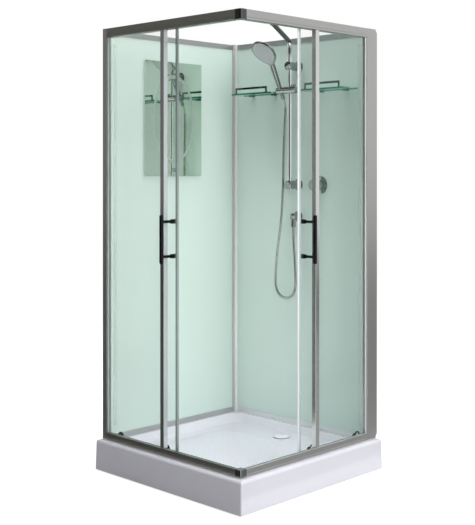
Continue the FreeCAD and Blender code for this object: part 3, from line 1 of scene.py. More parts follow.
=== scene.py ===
import bpy
import math
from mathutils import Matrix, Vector


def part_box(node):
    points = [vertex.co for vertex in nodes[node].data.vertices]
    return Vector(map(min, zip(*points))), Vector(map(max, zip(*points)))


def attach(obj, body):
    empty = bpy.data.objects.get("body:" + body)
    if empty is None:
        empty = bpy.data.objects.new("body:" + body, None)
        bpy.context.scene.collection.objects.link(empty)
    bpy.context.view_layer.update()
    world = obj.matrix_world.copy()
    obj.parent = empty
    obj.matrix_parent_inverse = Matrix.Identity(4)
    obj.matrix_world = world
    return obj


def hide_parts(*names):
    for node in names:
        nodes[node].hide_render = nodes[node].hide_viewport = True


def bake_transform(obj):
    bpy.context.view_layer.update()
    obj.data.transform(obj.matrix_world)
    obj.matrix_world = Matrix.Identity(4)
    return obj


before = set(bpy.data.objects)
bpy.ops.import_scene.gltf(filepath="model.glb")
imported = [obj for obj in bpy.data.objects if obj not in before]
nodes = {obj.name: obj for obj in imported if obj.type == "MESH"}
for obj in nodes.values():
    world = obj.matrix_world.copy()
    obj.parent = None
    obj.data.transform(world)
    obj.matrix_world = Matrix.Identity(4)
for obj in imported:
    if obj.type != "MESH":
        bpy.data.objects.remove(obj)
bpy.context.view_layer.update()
scene = bpy.context.scene

# Directions
RIGHTWARD = (1, 0, 0)
FORWARD = (0, -1, 0)
UPWARD = (0, 0, 1)
ACROSS_CORNER = (1, 1, 0)
QUARTER_TURN = math.radians(90)

# Camera at the photographed angle
EYE_PLACE = (3.18686, -3.26087, 1.32795)
EYE_TURN = (QUARTER_TURN, 0, math.radians(44.42))
EYE_LENS = 70.6
EYE_SENSOR = 36
EYE_SHIFT = (-0.0004, -0.1773)

# Angle up to which faces are shaded as one, and how squarely a face looks one way to be chosen
# or to take another tint
SMOOTH_ANGLE = math.radians(35)
FACING = 0.9
FACING_SQUARELY = 0.999
FACING_ROUGHLY = 0.5

# Sockets of a colour mix
MIX_SHARE = 0
MIX_FIRST = 6
MIX_SECOND = 7
MIX_RESULT = 2

# Noise in the finishes: its detail, the part of its range that is used, and its relief
NOISE_DETAIL = 3.0
NOISE_LOW = 0.3
NOISE_HIGH = 0.7
RELIEF_STRENGTH = 0.4
SATIN_RELIEF = 0.00002

# Spread of the fine lines along an upright, a front rail and a side rail
UPRIGHT_LINES = (900, 900, 3)
FRONT_LINES = (3, 900, 900)
SIDE_LINES = (900, 3, 900)

# Spread of plated metal and of soft seals, the seals' deeper tone, and the gloss of bright metals
PLATE_SPREAD = (25, 25, 25)
SEAL_SPREAD = (60, 60, 4)
SEAL_DEEPENING = 0.94
POLISHED = (0.03, 0.07)
PLATED = (0.05, 0.10)
BRIGHT_SATIN = (0.14, 0.22)

# Places past which the panes and seals show their edges, and the tint of a pane's edge
FRONT_PANE_EDGE = 0.0155
SIDE_PANE_EDGE = 0.0365
FRONT_SEAL_EDGE = 0.0195
SIDE_SEAL_EDGE = 0.0405
GLASS_EDGE = (0.10, 0.22, 0.21)

# Silvered ground of the mirror and its etched oval band
SILVERED = (0.88, 0.99, 0.88)
SILVERED_GLOSS = 0.02
ETCHED = (0.93, 0.98, 0.94)
ETCHED_GLOSS = 0.3
OVAL_HALVES = (1.0, 0.131, 0.209)
ETCH_MIDDLE = 0.95
ETCH_HALF_WIDTH = 0.04

# Hose: thickness, length, fineness of its mesh, and its route in metres from the hand shower's
# nut to the wall outlet
HOSE_RADIUS = 0.006
HOSE_STEPS = 8
HOSE_ORDER = 3
HOSE_ROUNDNESS = 4
HOSE_ROUTE = [
    (-0.0590, 0.359976, 1.658796), (-0.0590, 0.371325, 1.636520), (-0.0600, 0.3760, 1.6040),
    (-0.0625, 0.3730, 1.5480), (-0.0645, 0.3690, 1.4600), (-0.0655, 0.3660, 1.3500),
    (-0.0675, 0.3665, 1.2400), (-0.0750, 0.3660, 1.1300), (-0.0870, 0.3650, 1.0300),
    (-0.1020, 0.3640, 0.9400), (-0.1110, 0.3635, 0.8650), (-0.1130, 0.3635, 0.8080),
    (-0.1110, 0.3635, 0.7655), (-0.0880, 0.3630, 0.7328), (-0.0495, 0.3630, 0.7203),
    (-0.0110, 0.3630, 0.7328), (0.0120, 0.3630, 0.7655), (0.0140, 0.3630, 0.8080),
    (0.0120, 0.3630, 0.8620), (0.0070, 0.3630, 0.9300), (0.0000, 0.3630, 1.0000),
    (0.0000, 0.3630, 1.0580),
]

# Anti-slip studs on the tray's floor, rounded by a share of their rise
TRAY_FLOOR = 0.091
STUD_RADIUS = 0.0034
STUD_RISE = 0.0008
STUD_SINK = 0.0006
STUD_PITCH = 0.0115
STUD_START = (-0.305, -0.285)
STUD_COUNTS = (51, 43)
STUD_SIDES = 8
STUD_ROUNDING = 0.7

# Screws in the lower trims of the wall panels, with the socket in shares of the head
SCREW_RADIUS = 0.0040
SCREW_DEPTH = 0.0022
SCREW_HEIGHT = 0.1290
LEFT_TRIM_FACE = -0.4157
BACK_TRIM_FACE = 0.3977
LEFT_SCREWS = (-0.155, 0.142)
BACK_SCREWS = (-0.157, 0.142)
SCREW_SIDES = 20
SCREW_ROUNDING = 0.45
SOCKET_RIM = 0.25
SOCKET_SINK = 0.5

# Nozzles on the spray plate, in rings about the middle of its wide end, seated by a share of
# their depth
SPRAY_MIDDLE = Vector((-0.0590, 0.220636, 1.865239))
SPRAY_TILT = math.radians(45)
NOZZLE_RADIUS = 0.0017
NOZZLE_TIP = 0.0011
NOZZLE_DEPTH = 0.0020
NOZZLE_RINGS = ((0.010, 6), (0.021, 12), (0.032, 18), (0.043, 24))
NOZZLE_SIDES = 8
NOZZLE_ROUNDING = 0.4
NOZZLE_SEAT = 0.25

# Height that parts the lower wall trims from the upper ones, which carry painted shade
TRIM_SHADE_HEIGHT = 1.0

# Height of the bare arm above the upright tube, where its painted reflection begins
ARM_RISE = 0.105

# Rings round the caps of the lower rollers
RING_RADIUS = 0.017
RING_DEPTH = 0.004
RING_WIDTH = 0.0056
RING_EDGE = 0.0008
RING_HEIGHT = 0.1543
RING_DISTANCE = 0.3778
RING_PLACES = (0.054, 0.359)
RING_SIDES = 32
RING_EDGE_STEPS = 2

# Light that reaches the object from all round, edges of the spot lamp, and half of the fade
# between a card's two tones
AMBIENT = 0.31
BEAM_BLEND = 0.8
BEAM_SOFTNESS = 0.3
CARD_FADE = 0.25

# White of the background, and the floor's size and paint, as seen and as it lights the object
WHITE = (1, 1, 1, 1)
BACKGROUND_LEVEL = 1.0
FLOOR_SIZE = 14
FLOOR_SEEN = (0.8, 0.8, 0.8, 1)
FLOOR_ROUGHNESS = 0.9
FLOOR_GLOW = 0.7
FLOOR_LIGHTING = (0.58, 0.58, 0.58, 1)

# Clear layers that a ray may cross, panes and seals in a row
CLEAR_LAYERS = 32


# Camera

eye = bpy.data.cameras.new("eye")
eye.lens = EYE_LENS
eye.sensor_width = EYE_SENSOR
eye.shift_x, eye.shift_y = EYE_SHIFT
camera = bpy.data.objects.new("eye", eye)
camera.location = EYE_PLACE
camera.rotation_euler = EYE_TURN
scene.collection.objects.link(camera)
scene.camera = camera


# Shared modelling steps

def deselect():
    """Nothing selected and no active object, before a new piece is begun."""
    bpy.ops.object.select_all(action="DESELECT")
    bpy.context.view_layer.objects.active = None


def take(piece):
    """One piece selected and active."""
    deselect()
    piece.select_set(True)
    bpy.context.view_layer.objects.active = piece


def pick_faces(piece, wanted):
    """Faces chosen in edit mode by their middle and normal."""
    bpy.ops.object.mode_set(mode="OBJECT")
    for face in piece.data.polygons:
        face.select = wanted(face.center, face.normal)
    bpy.ops.object.mode_set(mode="EDIT")
    bpy.ops.mesh.select_mode(type="FACE")


def bevel_picked(width, segments=2):
    """Edges of the chosen faces rounded off."""
    bpy.ops.mesh.bevel(offset=width, segments=segments, affect="EDGES")


def applied(piece, kind, **settings):
    """Modifier added to the active piece, set up and applied."""
    modifier = piece.modifiers.new(kind.title(), kind)
    for name, value in settings.items():
        setattr(modifier, name, value)
    bpy.ops.object.modifier_apply(modifier=modifier.name)


def copied(piece, place, turn):
    """Copy of a piece with its own mesh, at another place."""
    twin = piece.copy()
    twin.data = piece.data.copy()
    scene.collection.objects.link(twin)
    twin.location = place
    twin.rotation_euler = turn
    return twin


def joined(pieces):
    """Several copies made one piece."""
    deselect()
    for piece in pieces:
        piece.select_set(True)
    bpy.context.view_layer.objects.active = pieces[0]
    bpy.ops.object.join()
    return pieces[0]


def settle(piece, name, material, body):
    """Piece at the origin with its place in its mesh, finished and riding on its body."""
    take(piece)
    bpy.ops.object.transform_apply(location=True, rotation=True, scale=True)
    bpy.ops.object.shade_smooth_by_angle(angle=SMOOTH_ANGLE)
    piece.name = name
    piece.data.materials.clear()
    piece.data.materials.append(material)
    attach(piece, body)


# Finishes

def wire(tree, source, output, target, socket):
    """One link between two nodes."""
    tree.links.new(source.outputs[output], target.inputs[socket])


def mottled(tree, spread):
    """Noise on the piece's own coordinates, stretched by a scale for each axis."""
    place = tree.nodes.new("ShaderNodeTexCoord")
    stretch = tree.nodes.new("ShaderNodeMapping")
    stretch.inputs["Scale"].default_value = spread
    noise = tree.nodes.new("ShaderNodeTexNoise")
    noise.inputs["Scale"].default_value = 1.0
    noise.inputs["Detail"].default_value = NOISE_DETAIL
    wire(tree, place, "Object", stretch, "Vector")
    wire(tree, stretch, "Vector", noise, "Vector")
    return noise


def ranged(tree, source, output, low, high):
    """Noise of a node spread over a range."""
    spread = tree.nodes.new("ShaderNodeMapRange")
    spread.inputs["From Min"].default_value = NOISE_LOW
    spread.inputs["From Max"].default_value = NOISE_HIGH
    spread.inputs["To Min"].default_value = low
    spread.inputs["To Max"].default_value = high
    wire(tree, source, output, spread, "Value")
    return spread


def blended(tree, source, output, first, second):
    """Two colours mixed by a node's values."""
    mix = tree.nodes.new("ShaderNodeMix")
    mix.data_type = "RGBA"
    mix.inputs[MIX_FIRST].default_value = (*first, 1)
    mix.inputs[MIX_SECOND].default_value = (*second, 1)
    wire(tree, source, output, mix, MIX_SHARE)
    return mix


def finish(name, pale, deep, metal=0.0, gloss=(0.25, 0.35), spread=(40, 40, 40), relief=0.0,
           coat=0.0, cover=1.0):
    """Surface with mottled colour, uneven gloss and fine relief."""
    material = bpy.data.materials.new(name)
    material.use_nodes = True
    tree = material.node_tree
    shader = tree.nodes["Principled BSDF"]
    shader.inputs["Metallic"].default_value = metal
    shader.inputs["Coat Weight"].default_value = coat
    shader.inputs["Alpha"].default_value = cover
    noise = mottled(tree, spread)
    tint = blended(tree, noise, "Fac", pale, deep)
    wire(tree, tint, MIX_RESULT, shader, "Base Color")
    sheen = ranged(tree, noise, "Fac", *gloss)
    wire(tree, sheen, "Result", shader, "Roughness")
    if relief:
        bump = tree.nodes.new("ShaderNodeBump")
        bump.inputs["Strength"].default_value = RELIEF_STRENGTH
        bump.inputs["Distance"].default_value = relief
        wire(tree, noise, "Fac", bump, "Height")
        wire(tree, bump, "Normal", shader, "Normal")
    return material


def satin(name, spread, pale=0.56, deep=0.50, gloss=(0.32, 0.42), warmth=0.98):
    """Satin anodised aluminium with fine lines along the extrusion."""
    return finish(name, (pale, pale, pale * warmth), (deep, deep, deep * warmth), metal=1.0,
                  gloss=gloss, spread=spread, relief=SATIN_RELIEF)


def past(tree, way, limit, measure):
    """One where a piece's normal or place goes past a limit along a way, and zero elsewhere."""
    place = tree.nodes.new("ShaderNodeTexCoord")
    along = tree.nodes.new("ShaderNodeVectorMath")
    along.operation = "DOT_PRODUCT"
    along.inputs[1].default_value = way
    clear = tree.nodes.new("ShaderNodeMath")
    clear.operation = "GREATER_THAN"
    clear.inputs[1].default_value = limit
    wire(tree, place, measure, along, 0)
    wire(tree, along, "Value", clear, 0)
    return clear


def other_side(material, way, tint, limit=FACING_ROUGHLY, measure="Normal", **sockets):
    """Another tint, and other socket values, on faces that look one way or lie past a place."""
    tree = material.node_tree
    shader = tree.nodes["Principled BSDF"]
    side = past(tree, way, limit, measure)
    mix = blended(tree, side, "Value", tint, tint)
    tree.links.new(shader.inputs["Base Color"].links[0].from_socket, mix.inputs[MIX_FIRST])
    wire(tree, mix, MIX_RESULT, shader, "Base Color")
    for socket, (usual, other) in sockets.items():
        choice = tree.nodes.new("ShaderNodeMapRange")
        choice.inputs["To Min"].default_value = usual
        choice.inputs["To Max"].default_value = other
        wire(tree, side, "Value", choice, "Value")
        wire(tree, choice, "Result", shader, socket)
    return material


def pane_finish(name, pale, deep, way, edge_tint, cover, edge_cover, **edge):
    """Clear pane: faint over its broad faces, and deep green at the edge that shows."""
    material = finish(name, pale, deep, gloss=(0.02, 0.05), spread=(6, 6, 6))
    return other_side(material, way, edge_tint, Alpha=(cover, edge_cover), **edge)


def seal_finish(name, tint, way, side_tint, cover, side_cover, limit):
    """Soft clear seal that reads another tone past a place."""
    deep = [SEAL_DEEPENING * level for level in tint]
    material = finish(name, tint, deep, gloss=(0.15, 0.3), spread=SEAL_SPREAD)
    return other_side(material, way, side_tint, limit, "Object", Alpha=(cover, side_cover))


def mirror_finish(name, low, high):
    """Silvered glass with a pale etched oval band."""
    material = bpy.data.materials.new(name)
    material.use_nodes = True
    tree = material.node_tree
    shader = tree.nodes["Principled BSDF"]
    shader.inputs["Metallic"].default_value = 1.0
    place = tree.nodes.new("ShaderNodeTexCoord")
    centre = tree.nodes.new("ShaderNodeMapping")
    centre.vector_type = "TEXTURE"
    centre.inputs["Location"].default_value = (low + high) / 2
    centre.inputs["Scale"].default_value = OVAL_HALVES
    flat = tree.nodes.new("ShaderNodeVectorMath")
    flat.operation = "MULTIPLY"
    flat.inputs[1].default_value = (0, 1, 1)
    length = tree.nodes.new("ShaderNodeVectorMath")
    length.operation = "LENGTH"
    band = tree.nodes.new("ShaderNodeMath")
    band.operation = "COMPARE"
    band.inputs[1].default_value = ETCH_MIDDLE
    band.inputs[2].default_value = ETCH_HALF_WIDTH
    wire(tree, place, "Object", centre, "Vector")
    wire(tree, centre, "Vector", flat, 0)
    wire(tree, flat, "Vector", length, 0)
    wire(tree, length, "Value", band, 0)
    tint = blended(tree, band, "Value", SILVERED, ETCHED)
    wire(tree, tint, MIX_RESULT, shader, "Base Color")
    frost = tree.nodes.new("ShaderNodeMapRange")
    frost.inputs["To Min"].default_value = SILVERED_GLOSS
    frost.inputs["To Max"].default_value = ETCHED_GLOSS
    wire(tree, band, "Value", frost, "Value")
    wire(tree, frost, "Result", shader, "Roughness")
    return material


acrylic = finish("white_acrylic", (0.80, 0.80, 0.865), (0.78, 0.78, 0.85), gloss=(0.16, 0.24),
                 spread=(7, 7, 7), coat=0.3)
white_plastic = finish("white_plastic", (0.86, 0.86, 0.87), (0.83, 0.83, 0.84), gloss=(0.2, 0.3),
                       spread=(90, 90, 90))
grey_plastic = finish("waste_plastic", (0.62, 0.62, 0.62), (0.58, 0.58, 0.58), gloss=(0.4, 0.5))
nylon = finish("wheel_nylon", (0.78, 0.78, 0.76), (0.72, 0.72, 0.70), gloss=(0.35, 0.5),
               spread=(150, 150, 150))
spray_face = finish("spray_face", (0.80, 0.81, 0.83), (0.74, 0.75, 0.78), gloss=(0.3, 0.4),
                    spread=(120, 120, 120))
zinc = finish("zinc_steel", (0.60, 0.60, 0.58), (0.50, 0.50, 0.48), metal=1.0, gloss=(0.3, 0.45))

# Satin profiles, some with another tint on the faces that look one way: painted light and painted
# reflection
satin_upright = satin("satin_upright", UPRIGHT_LINES)
left_upright = satin("satin_left_post", UPRIGHT_LINES, 0.92, 0.86, warmth=0.93)
# The left post's rightward faces are painted darker and greener: a painted reflection of the green
# walls
other_side(left_upright, RIGHTWARD, (0.42, 0.47, 0.45))
satin_front = satin("satin_front_rail", FRONT_LINES, warmth=0.90)
satin_side = satin("satin_side_rail", SIDE_LINES)
satin_sill = satin("satin_side_sill", SIDE_LINES)
# The side sill's top faces are painted paler and less metallic: painted light
other_side(satin_sill, UPWARD, (0.72, 0.74, 0.75), Metallic=(1.0, 0.6))
stile_metal = satin("satin_stile", UPRIGHT_LINES, 0.80, 0.74, BRIGHT_SATIN)
front_stile = satin("satin_front_stile", UPRIGHT_LINES, 0.88, 0.82, BRIGHT_SATIN)
# The front stile's rightward faces are painted paler and less metallic: a painted reflection
other_side(front_stile, RIGHTWARD, (0.82, 0.86, 0.88), Metallic=(1.0, 0.5))

# The rear corner profile is painted paler on the half towards the back wall: a painted highlight
rear_low, rear_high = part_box("rear_corner_post")
rear_middle = (rear_low.x + rear_low.y + rear_high.x + rear_high.y) / 2
pale_upright = finish("pale_upright", (0.58, 0.60, 0.59), (0.54, 0.56, 0.55), metal=0.4,
                      gloss=(0.25, 0.35), spread=(300, 300, 3))
other_side(pale_upright, ACROSS_CORNER, (0.88, 0.90, 0.89), rear_middle, "Object")

# The wall trims are painted paler where they look forward, as painted light, and darker at the
# top, as painted shade
trim_metal = finish("bright_trim", (0.58, 0.59, 0.59), (0.52, 0.53, 0.53), metal=0.75,
                    gloss=(0.3, 0.4), spread=(8, 8, 700))
other_side(trim_metal, FORWARD, (0.80, 0.82, 0.83), Metallic=(0.75, 0.4))
other_side(trim_metal, UPWARD, (0.42, 0.44, 0.43), TRIM_SHADE_HEIGHT, "Object")

# The riser's bare arm is painted darker than its tube: a painted reflection
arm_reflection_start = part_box("riser_rail")[1].z - ARM_RISE
riser_chrome = finish("riser_chrome", (0.94, 0.95, 0.96), (0.89, 0.90, 0.91), metal=1.0,
                      gloss=POLISHED, spread=PLATE_SPREAD)
other_side(riser_chrome, UPWARD, (0.16, 0.18, 0.17), arm_reflection_start, "Object")

chrome = finish("chrome", (0.40, 0.41, 0.41), (0.34, 0.35, 0.35), metal=1.0, gloss=POLISHED,
                spread=PLATE_SPREAD)
plated = finish("plated_plastic", (0.48, 0.49, 0.50), (0.42, 0.43, 0.44), metal=1.0, gloss=PLATED,
                spread=PLATE_SPREAD)
dark_chrome = finish("dark_chrome", (0.32, 0.34, 0.33), (0.26, 0.28, 0.27), metal=1.0,
                     gloss=PLATED, spread=PLATE_SPREAD)
smoked = finish("smoked_chrome", (0.13, 0.14, 0.14), (0.09, 0.10, 0.10), metal=1.0, gloss=PLATED,
                spread=PLATE_SPREAD)
black_chrome = finish("black_chrome", (0.036, 0.040, 0.043), (0.026, 0.030, 0.033), metal=1.0,
                      gloss=(0.08, 0.14), spread=PLATE_SPREAD)
hose_metal = finish("hose_metal", (0.66, 0.66, 0.66), (0.36, 0.36, 0.36), metal=1.0,
                    gloss=(0.12, 0.25), spread=(5, 5, 420))

front_pane = pane_finish("clear_glass_front", (0.45, 0.60, 0.54), (0.42, 0.57, 0.51), RIGHTWARD,
                         GLASS_EDGE, cover=0.03, edge_cover=0.8, limit=FRONT_PANE_EDGE,
                         measure="Object")
side_pane = pane_finish("clear_glass_side", (0.25, 0.42, 0.36), (0.23, 0.40, 0.34), FORWARD,
                        GLASS_EDGE, cover=0.04, edge_cover=0.8, limit=SIDE_PANE_EDGE,
                        measure="Object")
shelf_pane = pane_finish("shelf_glass", (0.36, 0.68, 0.58), (0.33, 0.65, 0.55), FORWARD,
                         (0.003, 0.19, 0.13), cover=0.26, edge_cover=0.97)
mint = finish("mint_panel", (0.71, 0.845, 0.785), (0.685, 0.825, 0.76), gloss=(0.08, 0.12),
              spread=(1.5, 1.5, 0.8), coat=0.2)
silver = mirror_finish("etched_mirror", *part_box("mirror"))

pale_seal = finish("pale_gasket", (0.93, 0.94, 0.94), (0.90, 0.91, 0.91), gloss=(0.35, 0.5),
                   spread=SEAL_SPREAD)
# The gaskets' rightward faces are painted darker: painted shade of the groove beside them
other_side(pale_seal, RIGHTWARD, (0.62, 0.66, 0.66))
front_seal = seal_finish("clear_seal_front", (0.34, 0.46, 0.44), RIGHTWARD, (0.80, 0.86, 0.85),
                         cover=0.65, side_cover=0.7, limit=FRONT_SEAL_EDGE)
side_seal = seal_finish("clear_seal_side", (0.54, 0.62, 0.64), FORWARD, (0.86, 0.88, 0.89),
                        cover=0.7, side_cover=0.88, limit=SIDE_SEAL_EDGE)
fin_clear = finish("clear_fin", (0.80, 0.90, 0.87), (0.76, 0.86, 0.83), gloss=(0.15, 0.3),
                   spread=SEAL_SPREAD, cover=0.08)

FINISHES = {
    "tray": acrylic, "levelling_feet": zinc, "waste_body": grey_plastic,
    "drain_cover": white_plastic, "left_post": left_upright, "right_post": satin_upright,
    "right_wall_profile": satin_upright, "rear_corner_post": pale_upright,
    "front_fixed_stile": front_stile, "side_fixed_stile": stile_metal,
    "front_top_rail": satin_front, "front_bottom_rail": satin_front, "side_top_rail": satin_side,
    "side_bottom_rail": satin_sill, "wall_panel_trims": trim_metal, "top_corner_joint": smoked,
    "bottom_corner_joint": dark_chrome, "front_fixed_glass": front_pane,
    "front_door_glass": front_pane, "side_fixed_glass": side_pane, "side_door_glass": side_pane,
    "left_shelf": shelf_pane, "right_shelf": shelf_pane, "left_wall_panel": mint,
    "back_wall_panel": mint, "mirror": silver, "post_gaskets": pale_seal,
    "front_door_magnet_seal": front_seal, "side_door_magnet_seal": side_seal,
    "front_door_fin_seal": fin_clear, "side_door_fin_seal": fin_clear, "spray_plate": spray_face,
    "slider": plated, "slider_lock_knob": plated, "handset_cradle": plated,
    "hand_shower": dark_chrome, "mirror_fixings": plated, "front_door_roller_carriers": smoked,
    "side_door_roller_carriers": smoked, "shelf_galleries": smoked, "shelf_clips": smoked,
    "riser_rail": riser_chrome,
}
FINISHES.update({name: black_chrome for name in nodes if "handle" in name or "pull" in name})
for name, node in nodes.items():
    node.data.materials.clear()
    node.data.materials.append(FINISHES.get(name, nylon if name.endswith("_wheel") else chrome))


# Hose

def centreline(piece):
    """Points of a curve's own line, before it has its thickness."""
    plain = bpy.data.meshes.new_from_object(piece)
    points = [tuple(vertex.co) for vertex in plain.vertices]
    bpy.data.meshes.remove(plain)
    return points


def shower_hose():
    """Metal hose on a smooth line along its route."""
    deselect()
    line = bpy.data.curves.new("shower_hose", "CURVE")
    line.dimensions = "3D"
    line.resolution_u = HOSE_STEPS
    spline = line.splines.new("NURBS")
    spline.points.add(len(HOSE_ROUTE) - 1)
    for point, place in zip(spline.points, HOSE_ROUTE):
        point.co = (*place, 1)
    spline.order_u = HOSE_ORDER
    spline.use_endpoint_u = True
    piece = bpy.data.objects.new("shower_hose", line)
    scene.collection.objects.link(piece)
    path = centreline(piece)
    line.bevel_depth = HOSE_RADIUS
    line.bevel_resolution = HOSE_ROUNDNESS
    line.use_fill_caps = True
    take(piece)
    bpy.ops.object.convert(target="MESH")
    bpy.ops.object.shade_smooth_by_angle(angle=SMOOTH_ANGLE)
    piece.data.materials.clear()
    piece.data.materials.append(hose_metal)
    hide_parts("hose")
    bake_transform(piece)


shower_hose()


# Anti-slip studs

def floor_studs():
    """Field of low round studs moulded on the tray's floor."""
    deselect()
    height = STUD_RISE + STUD_SINK
    place = (*STUD_START, TRAY_FLOOR - STUD_SINK + height / 2)
    bpy.ops.mesh.primitive_cylinder_add(
        vertices=STUD_SIDES, radius=STUD_RADIUS, depth=height, location=place)
    stud = bpy.context.object
    pick_faces(stud, lambda middle, normal: normal.z > FACING)
    bevel_picked(STUD_RISE * STUD_ROUNDING, 1)
    bpy.ops.object.mode_set(mode="OBJECT")
    for axis, count in enumerate(STUD_COUNTS):
        step = [0, 0, 0]
        step[axis] = STUD_PITCH
        applied(stud, "ARRAY", count=count, use_relative_offset=False, use_constant_offset=True,
                constant_offset_displace=step)
    settle(stud, "tray_floor_studs", acrylic, "cabin")


floor_studs()


# Trim screws

def trim_screw():
    """Pan-head screw with a sunk socket, pointing up at the origin."""
    deselect()
    bpy.ops.mesh.primitive_cylinder_add(
        vertices=SCREW_SIDES, radius=SCREW_RADIUS, depth=SCREW_DEPTH,
        location=(0, 0, SCREW_DEPTH / 2))
    screw = bpy.context.object
    pick_faces(screw, lambda middle, normal: normal.z > FACING)
    bevel_picked(SCREW_DEPTH * SCREW_ROUNDING)
    pick_faces(screw, lambda middle, normal: (
        normal.z > FACING_SQUARELY and middle.length < SCREW_DEPTH))
    bpy.ops.mesh.inset(thickness=SCREW_RADIUS * SOCKET_RIM)
    bpy.ops.mesh.extrude_region_move(
        TRANSFORM_OT_translate={"value": (0, 0, -SCREW_DEPTH * SOCKET_SINK)})
    bpy.ops.object.mode_set(mode="OBJECT")
    return screw


def trim_screws():
    """Four screws through the lower trims."""
    screw = trim_screw()
    out_of_left = (0, QUARTER_TURN, 0)
    out_of_back = (QUARTER_TURN, 0, 0)
    pieces = [copied(screw, (LEFT_TRIM_FACE, y, SCREW_HEIGHT), out_of_left)
              for y in LEFT_SCREWS]
    pieces += [copied(screw, (x, BACK_TRIM_FACE, SCREW_HEIGHT), out_of_back)
               for x in BACK_SCREWS]
    bpy.data.objects.remove(screw)
    settle(joined(pieces), "trim_screws", zinc, "cabin")


trim_screws()


# Spray nozzles

def spray_nozzle():
    """Soft tapered nozzle with a rounded tip, pointing up at the origin."""
    deselect()
    bpy.ops.mesh.primitive_cone_add(
        vertices=NOZZLE_SIDES, radius1=NOZZLE_RADIUS, radius2=NOZZLE_TIP, depth=NOZZLE_DEPTH,
        location=(0, 0, NOZZLE_DEPTH / 2))
    nozzle = bpy.context.object
    pick_faces(nozzle, lambda middle, normal: normal.z > FACING)
    bevel_picked(NOZZLE_TIP * NOZZLE_ROUNDING, 1)
    bpy.ops.object.mode_set(mode="OBJECT")
    return nozzle


def spray_nozzles():
    """Rings of nozzles on the spray plate."""
    nozzle = spray_nozzle()
    across = Vector((1, 0, 0))
    upward = Vector((0, -math.sin(SPRAY_TILT), math.cos(SPRAY_TILT)))
    outward = Vector((0, -math.cos(SPRAY_TILT), -math.sin(SPRAY_TILT)))
    turn = outward.to_track_quat("Z", "Y").to_euler()
    start = SPRAY_MIDDLE - outward * (NOZZLE_DEPTH * NOZZLE_SEAT)
    pieces = []
    for radius, count in NOZZLE_RINGS:
        for step in range(count):
            angle = math.tau * step / count
            place = (start + across * (radius * math.cos(angle))
                     + upward * (radius * math.sin(angle)))
            pieces.append(copied(nozzle, place, turn))
    bpy.data.objects.remove(nozzle)
    settle(joined(pieces), "spray_nozzles", grey_plastic, "handset")


spray_nozzles()


# Rings round the roller caps

def roller_ring():
    """Flat ring with rounded edges, facing along Y at the origin."""
    deselect()
    bpy.ops.mesh.primitive_cylinder_add(
        vertices=RING_SIDES, radius=RING_RADIUS, depth=RING_DEPTH, rotation=(QUARTER_TURN, 0, 0))
    ring = bpy.context.object
    bpy.ops.object.transform_apply(rotation=True)
    pick_faces(ring, lambda middle, normal: abs(normal.y) > FACING)
    bpy.ops.mesh.inset(thickness=RING_WIDTH, use_individual=True)
    bpy.ops.mesh.bridge_edge_loops()
    bpy.ops.mesh.select_all(action="SELECT")
    bpy.ops.mesh.normals_make_consistent(inside=False)
    bpy.ops.object.mode_set(mode="OBJECT")
    applied(ring, "BEVEL", width=RING_EDGE, segments=RING_EDGE_STEPS, limit_method="ANGLE")
    return ring


def roller_rings():
    """Two rings on the inner face of each door, round the caps of its lower rollers."""
    ring = roller_ring()
    front = [copied(ring, (-place, -RING_DISTANCE, RING_HEIGHT), (0, 0, 0))
             for place in RING_PLACES]
    side = [copied(ring, (RING_DISTANCE, place, RING_HEIGHT), (0, 0, QUARTER_TURN))
            for place in RING_PLACES]
    bpy.data.objects.remove(ring)
    settle(joined(front), "front_roller_rings", black_chrome, "front_door")
    settle(joined(side), "side_roller_rings", black_chrome, "side_door")


roller_rings()


# Light, cards, floor and background

def hang(name, light, place, target):
    """Lamp at its place, facing a point and not itself seen in polished surfaces."""
    holder = bpy.data.objects.new(name, light)
    holder.location = place
    way = Vector(target) - Vector(place)
    holder.rotation_euler = way.to_track_quat("-Z", "Y").to_euler()
    holder.visible_glossy = False
    scene.collection.objects.link(holder)


def lamp(name, place, target, size, power):
    """Soft square lamp that faces a point."""
    light = bpy.data.lights.new(name, "AREA")
    light.size = size
    light.energy = power
    hang(name, light, place, target)


def beam(name, place, target, angle, power):
    """Soft-edged spot lamp that faces a point."""
    light = bpy.data.lights.new(name, "SPOT")
    light.energy = power
    light.spot_size = math.radians(angle)
    light.spot_blend = BEAM_BLEND
    light.shadow_soft_size = BEAM_SOFTNESS
    hang(name, light, place, target)


lamp("key", place=(4.2, 0.6, 2.6), target=(0, 0, 1.0), size=2.6, power=132)
lamp("overhead", place=(0, 0, 4.2), target=(0, 0, 0), size=2.0, power=88)
beam("inner_fill", place=(2.4, -2.4, 1.7), target=(-0.25, 0.3, 0.7), angle=25, power=130)


def glow_paint(name, low, high, step):
    """Tone that doesn't depend on the lamps, one below a step on the card and another above it."""
    paint = bpy.data.materials.new(name)
    paint.use_nodes = True
    tree = paint.node_tree
    place = tree.nodes.new("ShaderNodeTexCoord")
    parts = tree.nodes.new("ShaderNodeSeparateXYZ")
    level = tree.nodes.new("ShaderNodeMapRange")
    level.inputs["From Min"].default_value = step - CARD_FADE
    level.inputs["From Max"].default_value = step + CARD_FADE
    level.inputs["To Min"].default_value = low
    level.inputs["To Max"].default_value = high
    glow = tree.nodes.new("ShaderNodeEmission")
    wire(tree, place, "Object", parts, "Vector")
    wire(tree, parts, "Y", level, "Value")
    wire(tree, level, "Result", glow, "Strength")
    wire(tree, glow, "Emission", tree.nodes["Material Output"], "Surface")
    return paint


def reflection_card(name, place, target, size, low, high, step=-0.8):
    """Studio card that only shows in polished surfaces."""
    deselect()
    bpy.ops.mesh.primitive_plane_add(size=size, location=place)
    card = bpy.context.object
    card.name = name
    way = Vector(target) - Vector(place)
    card.rotation_euler = way.to_track_quat("Z", "Y").to_euler()
    card.data.materials.append(glow_paint(name + "_tone", low, high, step))
    card.visible_camera = False
    card.visible_diffuse = False
    card.visible_shadow = False
    card.visible_transmission = False


